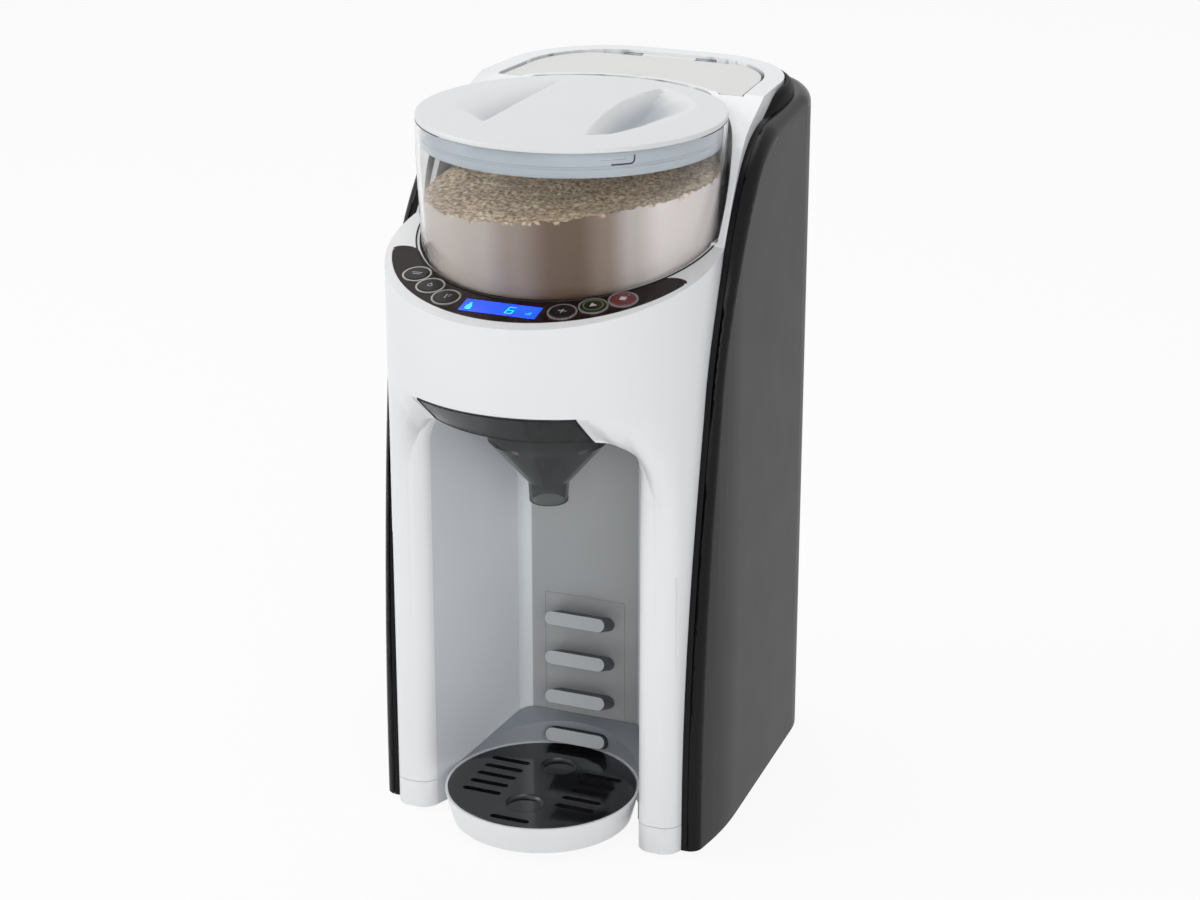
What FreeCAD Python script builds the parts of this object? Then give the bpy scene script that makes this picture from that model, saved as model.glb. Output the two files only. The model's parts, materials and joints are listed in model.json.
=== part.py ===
import FreeCAD, Part
import math
import os

import Sketcher

# ---------------------------------------------------------------------------
# Baby formula maker.  Millimetres, +Z up, the front faces -Y, and the origin
# is on the floor under the middle of the machine.
#
# A round powder container stands on a sloping deck above a bottle cavity.  A
# water tank hides behind it, under the flat lid of the top rim.
# ---------------------------------------------------------------------------

SIZES = {
    # Main envelope, measured from the container axis.
    "container_axis_y": -24.0,
    "machine_height": 360.0,
    "rear_reach": 150.0,
    # White main housing: a round front and a tapering back.
    "front_radius": 82.0,
    "front_centre": -20.0,
    "corner_radius": 55.0,
    "corner_half_spacing": 18.5,
    "corner_centre": 89.0,
    "housing_wall": 3.0,
    "belly_drop": 139.0,
    "belly_setback": 17.0,
    # Foot base and feet.
    "base_height": 15.5,
    "base_lift": 1.0,
    "foot_radius": 7.0,
    "foot_height": 3.5,
    # Front pillars and the arch between them.
    "pillar_front": -54.5,
    "pillar_inner": 56.3,
    "pillar_rounding": 8.5,
    "arch_rounding": 22.0,
    # Side curve: where the white housing meets the black cover, seen from the side.
    "curve_foot": -46.5,
    "curve_low_height": 115.3,
    "curve_mid": -23.5,
    "curve_mid_drop": 74.9,
    "curve_top": 30.9,
    "curve_top_drop": 12.5,
    "curve_rear_drop": 4.0,
    "curve_low_radius": 1400.0,
    "curve_mid_radius": 170.0,
    "curve_top_radius": 58.0,
    # White ramp beside the container.
    "ramp_foot": -6.0,
    "ramp_knee": 25.0,
    "ramp_knee_drop": 13.0,
    "ramp_top": 62.0,
    "ramp_knee_radius": 45.0,
    # Dark rear cover.
    "cover_front_half": 84.0,
    "cover_front": -60.0,
    "cover_wide_half": 90.0,
    "cover_wide": -16.0,
    "cover_rear_half": 81.5,
    "cover_corner_radius": 48.0,
    "cover_side_radius": 180.0,
    "cover_edge_radius": 6.5,
    "cover_wall": 3.0,
    "cover_lip": 12.0,
    "trim_thickness": 3.0,
    "trim_depth": 14.0,
    "seam_gap": 0.3,
    # Sloping deck.
    "deck_drop": 56.5,
    "deck_tilt": 12.4,
    "bezel_thickness": 5.0,
    "bay_radius": 74.0,
    "bay_upper_radius": 77.0,
    "bay_wall": 2.5,
    "bay_depth": 98.0,
    # Control panel, display and buttons, in the plane of the deck.
    "panel_radius": 80.0,
    "panel_centre": -17.5,
    "panel_inner_radius": 75.3,
    "panel_thickness": 1.2,
    "panel_rear": -43.0,
    "display_width": 38.8,
    "display_depth": 11.0,
    "display_centre": -86.3,
    "button_radius": 6.0,
    "button_gap": 0.3,
    "button_height": 7.4,
    "button_travel": 0.8,
    "button_proud": 0.9,
    "ring_width": 0.8,
    "ring_proud": 0.5,
    "inner_button_x": 29.5,
    "inner_button_v": -82.6,
    "middle_button_x": 41.5,
    "middle_button_v": -74.1,
    "outer_button_x": 52.7,
    "outer_button_v": -65.0,
    "board_drop": 9.0,
    "board_thickness": 1.6,
    "switch_radius": 2.5,
    # Powder container.
    "container_top_radius": 75.0,
    "container_seat_radius": 72.8,
    "container_seat_drop": 70.0,
    "container_taper_drop": 20.0,
    "container_top_drop": 2.8,
    "container_floor_radius": 58.0,
    "container_wall": 2.0,
    "container_floor_gap": 0.3,
    "container_shoulder_drop": 82.0,
    # Mixing paddle, dosing wheel and powder.
    "outlet_reach": 30.0,
    "outlet_radius": 7.0,
    "dog_width": 9.0,
    "dog_gap": 0.35,
    "hub_radius": 11.0,
    "dosing_radius": 50.0,
    "dosing_thickness": 5.5,
    "dosing_pocket_radius": 5.0,
    "dosing_pockets": 12.0,
    "wheel_gap": 0.4,
    "paddle_reach": 62.0,
    "paddle_width": 7.0,
    "paddle_height": 9.0,
    "paddle_count": 4.0,
    "powder_gap": 0.4,
    "powder_bottom_drop": 73.0,
    "powder_contact_drop": 35.0,
    "powder_crown_drop": 22.0,
    "powder_crown_radius": 30.0,
    # Container lid.
    "lid_radius": 75.0,
    "lid_rim": 2.5,
    "lid_skirt_drop": 9.8,
    "lid_skirt_radius": 71.6,
    "lid_skirt_wall": 2.0,
    "lid_plate": 2.0,
    "lid_gap": 0.3,
    "seal_drop": 14.7,
    "seal_radius": 72.4,
    "scoop_outer_radius": 60.0,
    "scoop_bar_half": 22.0,
    "scoop_depth": 8.0,
    "scoop_front": -38.0,
    "scoop_rear": 57.0,
    "lug_width": 12.0,
    "lug_depth": 0.9,
    "lug_height": 2.0,
    # Water tank and its lid.
    "tank_well_front": 80.0,
    "tank_rim_width": 10.0,
    "tank_depth": 170.0,
    "tank_wall": 2.0,
    "tank_gap": 0.8,
    "tank_lid_thickness": 3.0,
    "tank_lid_drop": 1.0,
    "tank_lid_gap": 1.7,
    "hinge_radius": 2.6,
    "hinge_pin_radius": 1.2,
    "hinge_half": 25.0,
    "hinge_knuckle": 10.0,
    "valve_radius": 6.0,
    "valve_stem_radius": 2.4,
    "seat_radius": 12.0,
    # Bottle cavity.
    "cavity_back": 15.3,
    "cavity_back_half": 33.5,
    "cavity_corner": 9.0,
    "cavity_front": -50.0,
    "liner_front": -48.0,
    "liner_wall": 2.2,
    "rung_panel_half": 22.1,
    "rung_panel_top": 100.4,
    "rung_panel_bottom": 18.0,
    "rung_panel_thickness": 2.0,
    "rung_half": 16.5,
    "rung_thickness": 7.0,
    "rung_length": 15.0,
    "rung_tilt": 20.0,
    "rung_first": 26.5,
    "rung_pitch": 22.0,
    # Funnel drawer.
    "drawer_half": 40.5,
    "drawer_gap": 0.4,
    "drawer_top_drop": 121.8,
    "drawer_wall": 2.2,
    "drawer_rear": 6.0,
    "funnel_axis": -30.0,
    "funnel_rim_radius": 30.0,
    "funnel_rim_depth": 17.0,
    "funnel_cone_height": 23.0,
    "funnel_throat_radius": 10.2,
    "spout_radius": 9.6,
    "spout_length": 10.0,
    "funnel_wall": 1.6,
    # Drip tray and grid.
    "tray_centre": -40.7,
    "tray_radius": 49.2,
    "tray_foot_radius": 45.6,
    "tray_bottom": 5.0,
    "grid_top": 19.9,
    "grid_thickness": 2.5,
    "grid_gap": 0.5,
    "tray_wall": 2.4,
    "tray_rim": 1.2,
    "tray_back_top": 36.0,
    "tray_ramp_front": -31.0,
    "tray_slot_gap": 0.5,
    "dimple_radius": 9.5,
    "dimple_spacing": 44.0,
    "slot_width": 3.6,
    "slot_pitch": 9.0,
    # Drive under the container.
    "gear_radius": 15.0,
    "pinion_radius": 10.0,
    "gear_teeth": 24.0,
    "pinion_teeth": 16.0,
    "gear_thickness": 5.0,
    "gear_drop": 110.0,
    "gear_play": 0.3,
    "tooth_depth": 2.0,
    "shaft_radius": 3.0,
    "shaft_gap": 0.05,
    "motor_radius": 13.0,
    "gear_plate_thickness": 2.5,
    "motor_length": 20.0,
    # Things in the rear bay.
    "bay_front": 24.0,
    "heater_radius": 17.0,
    "heater_length": 80.0,
    "pump_radius": 15.0,
    "pump_length": 46.0,
    "tube_radius": 3.5,
    "inlet_radius": 7.0,
    "inlet_height": 28.0,
    "screw_radius": 2.0,
    "screw_head_radius": 3.6,
}

document = FreeCAD.newDocument("formula_maker")
sheet = document.addObject("Spreadsheet::Sheet", "Sizes")
for row, (alias, value) in enumerate(SIZES.items(), start=1):
    sheet.set(f"A{row}", alias.replace("_", " "))
    sheet.set(f"B{row}", str(value))
    sheet.setAlias(f"B{row}", alias)
document.recompute()


# --- Sizes that keep their spreadsheet formula ------------------------------

class Size:
    """A number together with the spreadsheet formula that gives it."""

    def __init__(self, value, formula):
        self.value = float(value)
        self.formula = formula

    def __add__(self, other):
        other = as_size(other)
        return Size(self.value + other.value, f"({self.formula} + {other.formula})")

    def __sub__(self, other):
        other = as_size(other)
        return Size(self.value - other.value, f"({self.formula} - {other.formula})")

    def __mul__(self, other):
        other = as_size(other)
        return Size(self.value * other.value, f"({self.formula} * {other.formula})")

    def __truediv__(self, other):
        other = as_size(other)
        return Size(self.value / other.value, f"({self.formula} / {other.formula})")

    def __radd__(self, other):
        return as_size(other) + self

    def __rsub__(self, other):
        return as_size(other) - self

    def __rmul__(self, other):
        return as_size(other) * self

    def __neg__(self):
        return Size(-self.value, f"(-1 * {self.formula})")


def as_size(value):
    """A plain number becomes a Size whose formula is that number."""
    return value if isinstance(value, Size) else Size(value, repr(float(value)))


class Dimensions:
    """Gives each spreadsheet cell as an attribute."""

    def __getattr__(self, alias):
        return Size(SIZES[alias], f"Sizes.{alias}")


dim = Dimensions()


def cosine(angle):
    return Size(math.cos(math.radians(angle.value)), f"cos({angle.formula})")


def sine(angle):
    return Size(math.sin(math.radians(angle.value)), f"sin({angle.formula})")


def tangent(angle):
    return Size(math.tan(math.radians(angle.value)), f"tan({angle.formula})")


def root(area):
    return Size(math.sqrt(area.value), f"sqrt({area.formula})")


# --- Drawing helpers ----------------------------------------------------------

X_AXIS = FreeCAD.Vector(1, 0, 0)
Y_AXIS = FreeCAD.Vector(0, 1, 0)
Z_AXIS = FreeCAD.Vector(0, 0, 1)
ALONG = {
    "x": FreeCAD.Rotation(Y_AXIS, 90),
    "y": FreeCAD.Rotation(X_AXIS, -90),
    "z": FreeCAD.Rotation(),
}
SKETCH_TURN = {
    "XY": FreeCAD.Rotation(),
    "XZ": FreeCAD.Rotation(X_AXIS, 90),
    "YZ": FreeCAD.Rotation(FreeCAD.Vector(1, 1, 1), 120),
}
FAR = 500.0
# Lengths that reach past the whole machine, for boxes and cutters.
WIDE = 120.0
TALL = 200.0
AHEAD = -120
BEYOND = 200
TINY = 0.05


def bind(item, path, value):
    item.setExpression(path, as_size(value).formula)


def put(item, x, y, z):
    """Bind the place of an item, whose turn is already set."""
    for letter, value in zip("xyz", (x, y, z)):
        bind(item, f"Placement.Base.{letter}", value)
    return item


def box(name, x, y, z):
    """A box from (low, high) pairs along the three axes."""
    item = document.addObject("Part::Box", name)
    bind(item, "Length", x[1] - x[0])
    bind(item, "Width", y[1] - y[0])
    bind(item, "Height", z[1] - z[0])
    return put(item, x[0], y[0], z[0])


def wide_box(name, half, y, z):
    """A box that is symmetrical about the machine's middle plane."""
    return box(name, (-half, as_size(half)), y, z)


def cylinder(name, radius, at, length, along="z"):
    item = document.addObject("Part::Cylinder", name)
    item.Placement = FreeCAD.Placement(FreeCAD.Vector(), ALONG[along])
    bind(item, "Radius", radius)
    bind(item, "Height", length)
    return put(item, *at)


def wedge(name, front_half, rear_half, y, z):
    """A block whose width changes evenly from its front face to its rear face."""
    item = document.addObject("Part::Wedge", name)
    bounds = {
        "Xmin": -front_half, "Xmax": front_half, "X2min": -rear_half, "X2max": rear_half,
        "Ymin": y[0], "Ymax": y[1],
        "Zmin": z[0], "Zmax": z[1], "Z2min": z[0], "Z2max": z[1],
    }
    for key, value in bounds.items():
        setattr(item, key, as_size(value).value)
        bind(item, key, value)
    return item


def fuse(name, *parts):
    item = document.addObject("Part::MultiFuse", name)
    item.Shapes = list(parts)
    item.Refine = True
    return item


def group(name, parts):
    """Separate solids that share one node."""
    item = document.addObject("Part::Compound", name)
    item.Links = list(parts)
    return item


def common(name, base, tool):
    item = document.addObject("Part::Common", name)
    item.Base = base
    item.Tool = tool
    item.Refine = False
    return item


def cut(name, base, *tools):
    """Take the tools away one after another."""
    for index, tool in enumerate(tools, start=1):
        last = index == len(tools)
        item = document.addObject("Part::Cut", name if last else f"{name}_less_{index}")
        item.Base = base
        item.Tool = tool
        item.Refine = False
        base = item
    return base


def round_edges(name, base, radius, chosen):
    """Round the edges of a shape for which chosen(edge) is true."""
    document.recompute()
    item = document.addObject("Part::Fillet", name)
    item.Base = base
    size = as_size(radius).value
    numbers = [i for i, edge in enumerate(base.Shape.Edges, start=1) if chosen(edge)]
    item.Edges = [(number, size, size) for number in numbers]
    return item


def middle(edge):
    return edge.valueAt((edge.FirstParameter + edge.LastParameter) / 2)


def is_upright(edge):
    start, end = edge.Vertexes[0].Point, edge.Vertexes[-1].Point
    return abs((end - start).normalize().z) > 0.999


def draw_polygon(sketch, corners):
    """Closed outline whose every corner is bound to its two sizes."""
    points = [FreeCAD.Vector(as_size(u).value, as_size(v).value, 0) for u, v in corners]
    first = sketch.GeometryCount
    count = len(points)
    for index, point in enumerate(points):
        sketch.addGeometry(Part.LineSegment(point, points[(index + 1) % count]))
    for index in range(count):
        line = first + index
        following = first + (index + 1) % count
        sketch.addConstraint(Sketcher.Constraint("Coincident", line, 2, following, 1))
        for kind, axis, value in zip(("DistanceX", "DistanceY"), (-2, -1), corners[index]):
            size = as_size(value)
            if size.value == 0:
                sketch.addConstraint(Sketcher.Constraint("PointOnObject", line, 1, axis))
                continue
            made = sketch.addConstraint(Sketcher.Constraint(kind, -1, 1, line, 1, size.value))
            sketch.setExpression(f"Constraints[{made}]", size.formula)


def prism(name, plane, corners, low, high):
    """A polygon in plane XY, XZ or YZ, carried from low to high along the third axis."""
    sketch = document.addObject("Sketcher::SketchObject", f"{name}_sketch")
    sketch.Placement = FreeCAD.Placement(FreeCAD.Vector(), SKETCH_TURN[plane])
    draw_polygon(sketch, corners)
    item = document.addObject("Part::Extrusion", name)
    item.Base = sketch
    item.DirMode = "Custom"
    item.Solid = True
    third = {"XY": "z", "XZ": "y", "YZ": "x"}[plane]
    item.Dir = {"x": X_AXIS, "y": Y_AXIS, "z": Z_AXIS}[third]
    bind(sketch, f"Placement.Base.{third}", low)
    bind(item, "LengthFwd", high - as_size(low))
    return item


def new_body(name):
    return document.addObject("PartDesign::Body", name)


def body_sketch(body, plane, height=0.0):
    """A sketch on one of the body's own origin planes, raised along its normal."""
    sketch = body.newObject("Sketcher::SketchObject", f"{body.Name}_{plane}_sketch")
    planes = {item.Role: item for item in body.Origin.OriginFeatures}
    sketch.AttachmentSupport = [(planes[f"{plane}_Plane"], "")]
    sketch.MapMode = "FlatFace"
    bind(sketch, "AttachmentOffset.Base.z", height)
    return sketch


def pad(body, sketch, length):
    feature = body.newObject("PartDesign::Pad", f"{body.Name}_pad")
    feature.Profile = sketch
    bind(feature, "Length", length)
    return feature


def turned(name, corners, x=0.0, y=0.0):
    """A body of revolution about an upright axis, from (radius, height) corners."""
    body = new_body(name)
    sketch = body_sketch(body, "XZ")
    draw_polygon(sketch, corners)
    feature = body.newObject("PartDesign::Revolution", f"{name}_revolution")
    feature.Profile = sketch
    feature.ReferenceAxis = (sketch, ["V_Axis"])
    feature.Angle = 360
    put(body, x, y, 0.0)
    return body


def ring(name, inner, outer, at, length):
    """A tube with an upright axis."""
    x, y, z = at
    hole = cylinder(f"{name}_hole", inner, (x, y, z - as_size(1)), length + as_size(2))
    return cut(name, cylinder(f"{name}_disc", outer, at, length), hole)


NODES = {}


def keep(node, item):
    """Name a finished sub-part; its label is the name of its file."""
    item.Label = node
    NODES[node] = item
    return item


# --- Shared forms --------------------------------------------------------------

AXIS_Y = dim.container_axis_y


def behind(reach):
    """A place along Y, given as its reach behind the container axis."""
    return AXIS_Y + as_size(reach)


FRONT_CENTRE = behind(dim.front_centre)
CORNER_CENTRE = behind(dim.corner_centre)
TOP = dim.machine_height

# Heights of the upper machine, measured down from its top.
DECK_HEIGHT = TOP - dim.deck_drop
BELLY_BOTTOM = TOP - dim.belly_drop
BAY_FLOOR = TOP - dim.bay_depth
GEAR_BOTTOM = TOP - dim.gear_drop
DRAWER_TOP = TOP - dim.drawer_top_drop
FUNNEL_RIM_HEIGHT = BELLY_BOTTOM - dim.funnel_rim_depth
FUNNEL_THROAT_HEIGHT = FUNNEL_RIM_HEIGHT - dim.funnel_cone_height
SPOUT_BOTTOM = FUNNEL_THROAT_HEIGHT - dim.spout_length
RAMP_KNEE_HEIGHT = TOP - dim.ramp_knee_drop
CURVE_MID_HEIGHT = TOP - dim.curve_mid_drop
CURVE_TOP_HEIGHT = TOP - dim.curve_top_drop
CURVE_REAR_HEIGHT = TOP - dim.curve_rear_drop
CONTAINER_SHOULDER = TOP - dim.container_shoulder_drop
CONTAINER_SEAT_HEIGHT = TOP - dim.container_seat_drop
CONTAINER_TAPER_HEIGHT = TOP - dim.container_taper_drop
CONTAINER_TOP = TOP - dim.container_top_drop
POWDER_BOTTOM = TOP - dim.powder_bottom_drop
POWDER_CONTACT = TOP - dim.powder_contact_drop
POWDER_CROWN = TOP - dim.powder_crown_drop
LID_SKIRT_BOTTOM = TOP - dim.lid_skirt_drop
SEAL_BOTTOM = TOP - dim.seal_drop
TANK_BOTTOM = TOP - dim.tank_depth


def housing_plan(name, offset, bottom, top, front=True):
    """The plan of the white housing, grown by offset: a round front, a tapering
    back and two large rear corners."""
    offset = as_size(offset)
    height = top - as_size(bottom)
    corner = dim.corner_radius + offset
    rear_half = dim.corner_half_spacing + corner
    parts = [
        wedge(f"{name}_taper", dim.front_radius + offset, rear_half,
              (FRONT_CENTRE, CORNER_CENTRE), (bottom, top)),
        wide_box(f"{name}_rear", dim.corner_half_spacing,
                 (CORNER_CENTRE - 1, CORNER_CENTRE + corner), (bottom, top)),
    ]
    for side in (-1, 1):
        at = (side * dim.corner_half_spacing, CORNER_CENTRE, as_size(bottom))
        parts.append(cylinder(f"{name}_corner_{side + 1}", corner, at, height))
    if front:
        at = (0.0, FRONT_CENTRE, as_size(bottom))
        parts.append(cylinder(f"{name}_front", dim.front_radius + offset, at, height))
    return fuse(name, *parts)


def side_curve_block(name, back=0.0, down=0.0):
    """All that lies behind and below the side curve, moved back and down."""
    back, down = as_size(back), as_size(down)
    corners = [
        (behind(dim.curve_foot) + back, as_size(-20)),
        (behind(dim.curve_foot) + back, dim.curve_low_height - down),
        (behind(dim.curve_mid) + back, CURVE_MID_HEIGHT - down),
        (behind(dim.curve_top) + back, CURVE_TOP_HEIGHT - down),
        (behind(dim.rear_reach) + 30, CURVE_REAR_HEIGHT - down),
        (behind(dim.rear_reach) + 30, as_size(-20)),
    ]
    sharp = prism(f"{name}_sharp", "YZ", corners, -FAR / 2, FAR / 2)
    low = round_edges(f"{name}_low", sharp, dim.curve_low_radius,
                      lambda edge: near_crease(edge, corners[1]))
    mid = round_edges(f"{name}_mid", low, dim.curve_mid_radius,
                      lambda edge: near_crease(edge, corners[2]))
    return round_edges(name, mid, dim.curve_top_radius, lambda edge: near_crease(edge, corners[3]))


def near_crease(edge, corner):
    """True for an edge along X that stands at a (y, z) corner."""
    point = middle(edge)
    return math.hypot(point.y - corner[0].value, point.z - corner[1].value) < TINY


def deck_height_at(reach):
    """Height of the sloping deck at a reach behind the container axis."""
    return DECK_HEIGHT + tangent(dim.deck_tilt) * as_size(reach)


def deck_point(x, along, proud):
    """A point of the deck's own frame: across, along the slope, and out of it."""
    y = AXIS_Y + along * cosine(dim.deck_tilt) - proud * sine(dim.deck_tilt)
    z = DECK_HEIGHT + along * sine(dim.deck_tilt) + proud * cosine(dim.deck_tilt)
    return x, y, z


def on_deck(item, x=0.0, along=0.0, proud=0.0):
    """Tilt an item onto the deck and put it at a point of the deck's frame."""
    item.Placement = FreeCAD.Placement(FreeCAD.Vector(), FreeCAD.Rotation(X_AXIS, SIZES["deck_tilt"]))
    bind(item, "Placement.Rotation.Angle", dim.deck_tilt)
    return put(item, *deck_point(as_size(x), as_size(along), as_size(proud)))


def deck_cylinder(name, radius, x, along, low, high):
    """A cylinder square to the deck, from low to high above its face."""
    item = document.addObject("Part::Cylinder", name)
    bind(item, "Radius", radius)
    bind(item, "Height", high - as_size(low))
    return on_deck(item, x, along, low)


def deck_box(name, x, along, proud):
    """A box square to the deck, from (low, high) pairs in the deck's frame."""
    item = document.addObject("Part::Box", name)
    bind(item, "Length", x[1] - x[0])
    bind(item, "Width", along[1] - along[0])
    bind(item, "Height", proud[1] - proud[0])
    return on_deck(item, x[0], along[0], proud[0])


BUTTONS = {
    "left_outer": (-dim.outer_button_x, dim.outer_button_v),
    "left_middle": (-dim.middle_button_x, dim.middle_button_v),
    "left_inner": (-dim.inner_button_x, dim.inner_button_v),
    "right_inner": (dim.inner_button_x, dim.inner_button_v),
    "right_middle": (dim.middle_button_x, dim.middle_button_v),
    "right_outer": (dim.outer_button_x, dim.outer_button_v),
}


def niche(name, offset, top, rounding=None):
    """The bottle cavity, grown by offset: it narrows from the pillars to the back wall.
    With a rounding, the ceiling is rounded into the side walls."""
    offset = as_size(offset)
    spread = (dim.pillar_inner - dim.cavity_back_half) / (dim.cavity_back - dim.cavity_front)
    ahead = as_size(25)
    front_half = dim.pillar_inner + spread * ahead + offset
    back_half = dim.cavity_back_half - spread * offset + offset
    front, back = behind(dim.cavity_front) - ahead, behind(dim.cavity_back) + offset
    corners = [(-front_half, front), (front_half, front), (back_half, back), (-back_half, back)]
    sharp = prism(f"{name}_sharp", "XY", corners, -20.0, top)
    ceiling = as_size(top).value

    def is_ceiling_side(edge):
        point = middle(edge)
        return abs(point.z - ceiling) < TINY and abs(point.x) > TINY

    def is_back_corner(edge):
        point = middle(edge)
        return abs(point.y - back.value) < TINY and point.z > 0 and (rounding or abs(point.x) > TINY)
    arched = round_edges(f"{name}_arched", sharp, rounding, is_ceiling_side) if rounding else sharp
    return round_edges(name, arched, dim.cavity_corner + offset, is_back_corner)


# --- White main housing ---------------------------------------------------------

WALL = dim.housing_wall
CHAMBER_FLOOR = DRAWER_TOP + dim.drawer_gap + WALL
CHAMBER_TOP = BAY_FLOOR - dim.bay_wall
WELL_BOTTOM = TANK_BOTTOM - dim.tank_gap
WELL_UNDERSIDE = WELL_BOTTOM - WALL
BAY_OUTER = dim.bay_upper_radius + WALL
RAMP_FOOT_Y = behind(dim.ramp_foot)
# Tangent of half the belly's 45 degree slant.
MITRE = 0.41


def belly_drum(name, wall, top):
    """The round front, whose belly slants in under it; a wall leaves its inside."""
    low = BELLY_BOTTOM + wall
    mitre = as_size(wall) * MITRE
    return turned(name, [
        (as_size(0), low),
        (dim.front_radius - dim.belly_setback - mitre, low),
        (dim.front_radius - wall, BELLY_BOTTOM + dim.belly_setback + mitre),
        (dim.front_radius - wall, as_size(top)),
        (as_size(0), as_size(top)),
    ], 0.0, FRONT_CENTRE)


def round_head():
    """The upper housing: the round front and the body behind it."""
    rear = housing_plan("head_rear", 0.0, BELLY_BOTTOM, TOP, front=False)
    return fuse("head", belly_drum("head_drum", 0.0, TOP), rear)


def side_profile():
    """Side view of the white housing: deck, ramp beside the container, flat top."""
    front = behind(-110)
    rear = behind(dim.rear_reach) + 20
    seat = dim.bezel_thickness
    corners = [
        (front, as_size(-5)),
        (front, deck_height_at(-110) - seat),
        (RAMP_FOOT_Y, deck_height_at(dim.ramp_foot) - seat),
        (RAMP_FOOT_Y, deck_height_at(dim.ramp_foot)),
        (behind(dim.ramp_knee), RAMP_KNEE_HEIGHT),
        (behind(dim.ramp_top), TOP),
        (rear, TOP),
        (rear, as_size(-5)),
    ]
    sharp = prism("side_profile_sharp", "YZ", corners, -FAR / 2, FAR / 2)
    return round_edges("side_profile", sharp, dim.ramp_knee_radius,
                       lambda edge: near_crease(edge, corners[4]))


def main_housing():
    pillars = common(
        "pillar_block",
        housing_plan("pillar_plan", 0.0, dim.base_height, BELLY_BOTTOM + dim.belly_setback),
        wide_box("pillar_front_box", WIDE, (behind(dim.pillar_front), behind(BEYOND)), (0.0, TOP)))
    head = common("head_with_ramp", round_head(), side_profile())
    arch = niche("arch", 0.0, BELLY_BOTTOM, dim.arch_rounding)
    front = behind(dim.pillar_front).value

    def is_pillar_nose(edge):
        return is_upright(edge) and abs(middle(edge).y - front) < TINY
    noses = round_edges("pillar_noses", cut("pillars", pillars, arch), dim.pillar_rounding, is_pillar_nose)
    outer = fuse("housing_outer", head, noses)
    liner_space = liner_form("liner_space", dim.liner_wall)

    inner_plan = housing_plan("inner_plan", -WALL, -5.0, TOP + 20)
    front_chamber = common("front_chamber", inner_plan, wide_box(
        "front_chamber_box", WIDE, (behind(AHEAD), behind(dim.bay_front)), (CHAMBER_FLOOR, CHAMBER_TOP)))
    low_chamber = wide_box("low_chamber", dim.pillar_inner, (
        behind(dim.drawer_rear) + dim.drawer_gap + WALL, behind(dim.bay_front)),
        (BELLY_BOTTOM + dim.liner_wall + WALL, CHAMBER_TOP))
    under_bay = common("under_bay", inner_plan, wide_box(
        "under_bay_box", WIDE, (behind(dim.bay_front), behind(dim.tank_well_front - 3)),
        (-5.0, CHAMBER_TOP)))
    under_tank = common("under_tank", inner_plan, wide_box(
        "under_tank_box", WIDE, (behind(dim.tank_well_front - 4), behind(BEYOND)),
        (-5.0, WELL_UNDERSIDE)))
    crescent = cut("crescent", common("crescent_plan", inner_plan, wide_box(
        "crescent_box", WIDE, (behind(AHEAD), RAMP_FOOT_Y - WALL), (CHAMBER_FLOOR, TOP + 20))),
        cylinder("crescent_bay_wall", dim.bay_radius + dim.bay_wall,
                 (0.0, AXIS_Y, CHAMBER_TOP), TALL))
    bay = fuse("bay", cylinder("bay_low", dim.bay_radius, (0.0, AXIS_Y, BAY_FLOOR), TALL),
               cylinder("bay_high", dim.bay_upper_radius, (0.0, AXIS_Y, DECK_HEIGHT), TALL))
    drawer_space = wide_box("drawer_space", dim.drawer_half + dim.drawer_gap,
                            (behind(AHEAD), behind(dim.drawer_rear) + dim.drawer_gap),
                            (FUNNEL_RIM_HEIGHT, DRAWER_TOP + dim.drawer_gap))
    beside_niche = cut("beside_niche", common("beside_niche_plan", inner_plan, wide_box(
        "beside_niche_box", WIDE, (behind(dim.liner_front), behind(dim.bay_front)), (-5.0, CHAMBER_TOP))),
        niche("niche_wall", dim.liner_wall - 0.1, BELLY_BOTTOM + dim.liner_wall + WALL,
              dim.arch_rounding),
        wide_box("drawer_wall", dim.drawer_half + dim.drawer_gap + WALL,
                 (behind(AHEAD), behind(dim.drawer_rear) + dim.drawer_gap + WALL),
                 (SPOUT_BOTTOM, CHAMBER_FLOOR)))
    through = [
        liner_space, beside_niche, front_chamber, low_chamber, under_bay, under_tank, crescent,
        bay, drawer_space,
        tank_space("tank_well", 0.0, WELL_BOTTOM, TOP + 20),
        cylinder("chute_way", dim.outlet_radius + 1.8,
                 (0.0, behind(-dim.outlet_reach), DRAWER_TOP - 5), 40.0),
        cylinder("shaft_way", dim.shaft_radius + 2, (0.0, AXIS_Y, CHAMBER_TOP - 1), 10.0),
        cylinder("nozzle_way", dim.tube_radius + 0.2, NOZZLE_AT, 10.0),
        cylinder("seat_way", dim.seat_radius + 0.2, SEAT_AT, 20.0),
        cylinder("lead_way", dim.inlet_radius + 0.2, (INLET_X, HOUSING_REAR - 10, dim.inlet_height),
                 20.0, "y"),
    ]
    for name, (x, z) in SCREW_PLACES.items():
        through.append(cylinder(f"screw_pilot_{name}", dim.screw_radius + 0.05,
                                (x, HOUSING_REAR - 10, as_size(z)), 20.0, "y"))
    shell = cut("housing_shell", outer, *through)
    return split_housing(shell)


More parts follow.
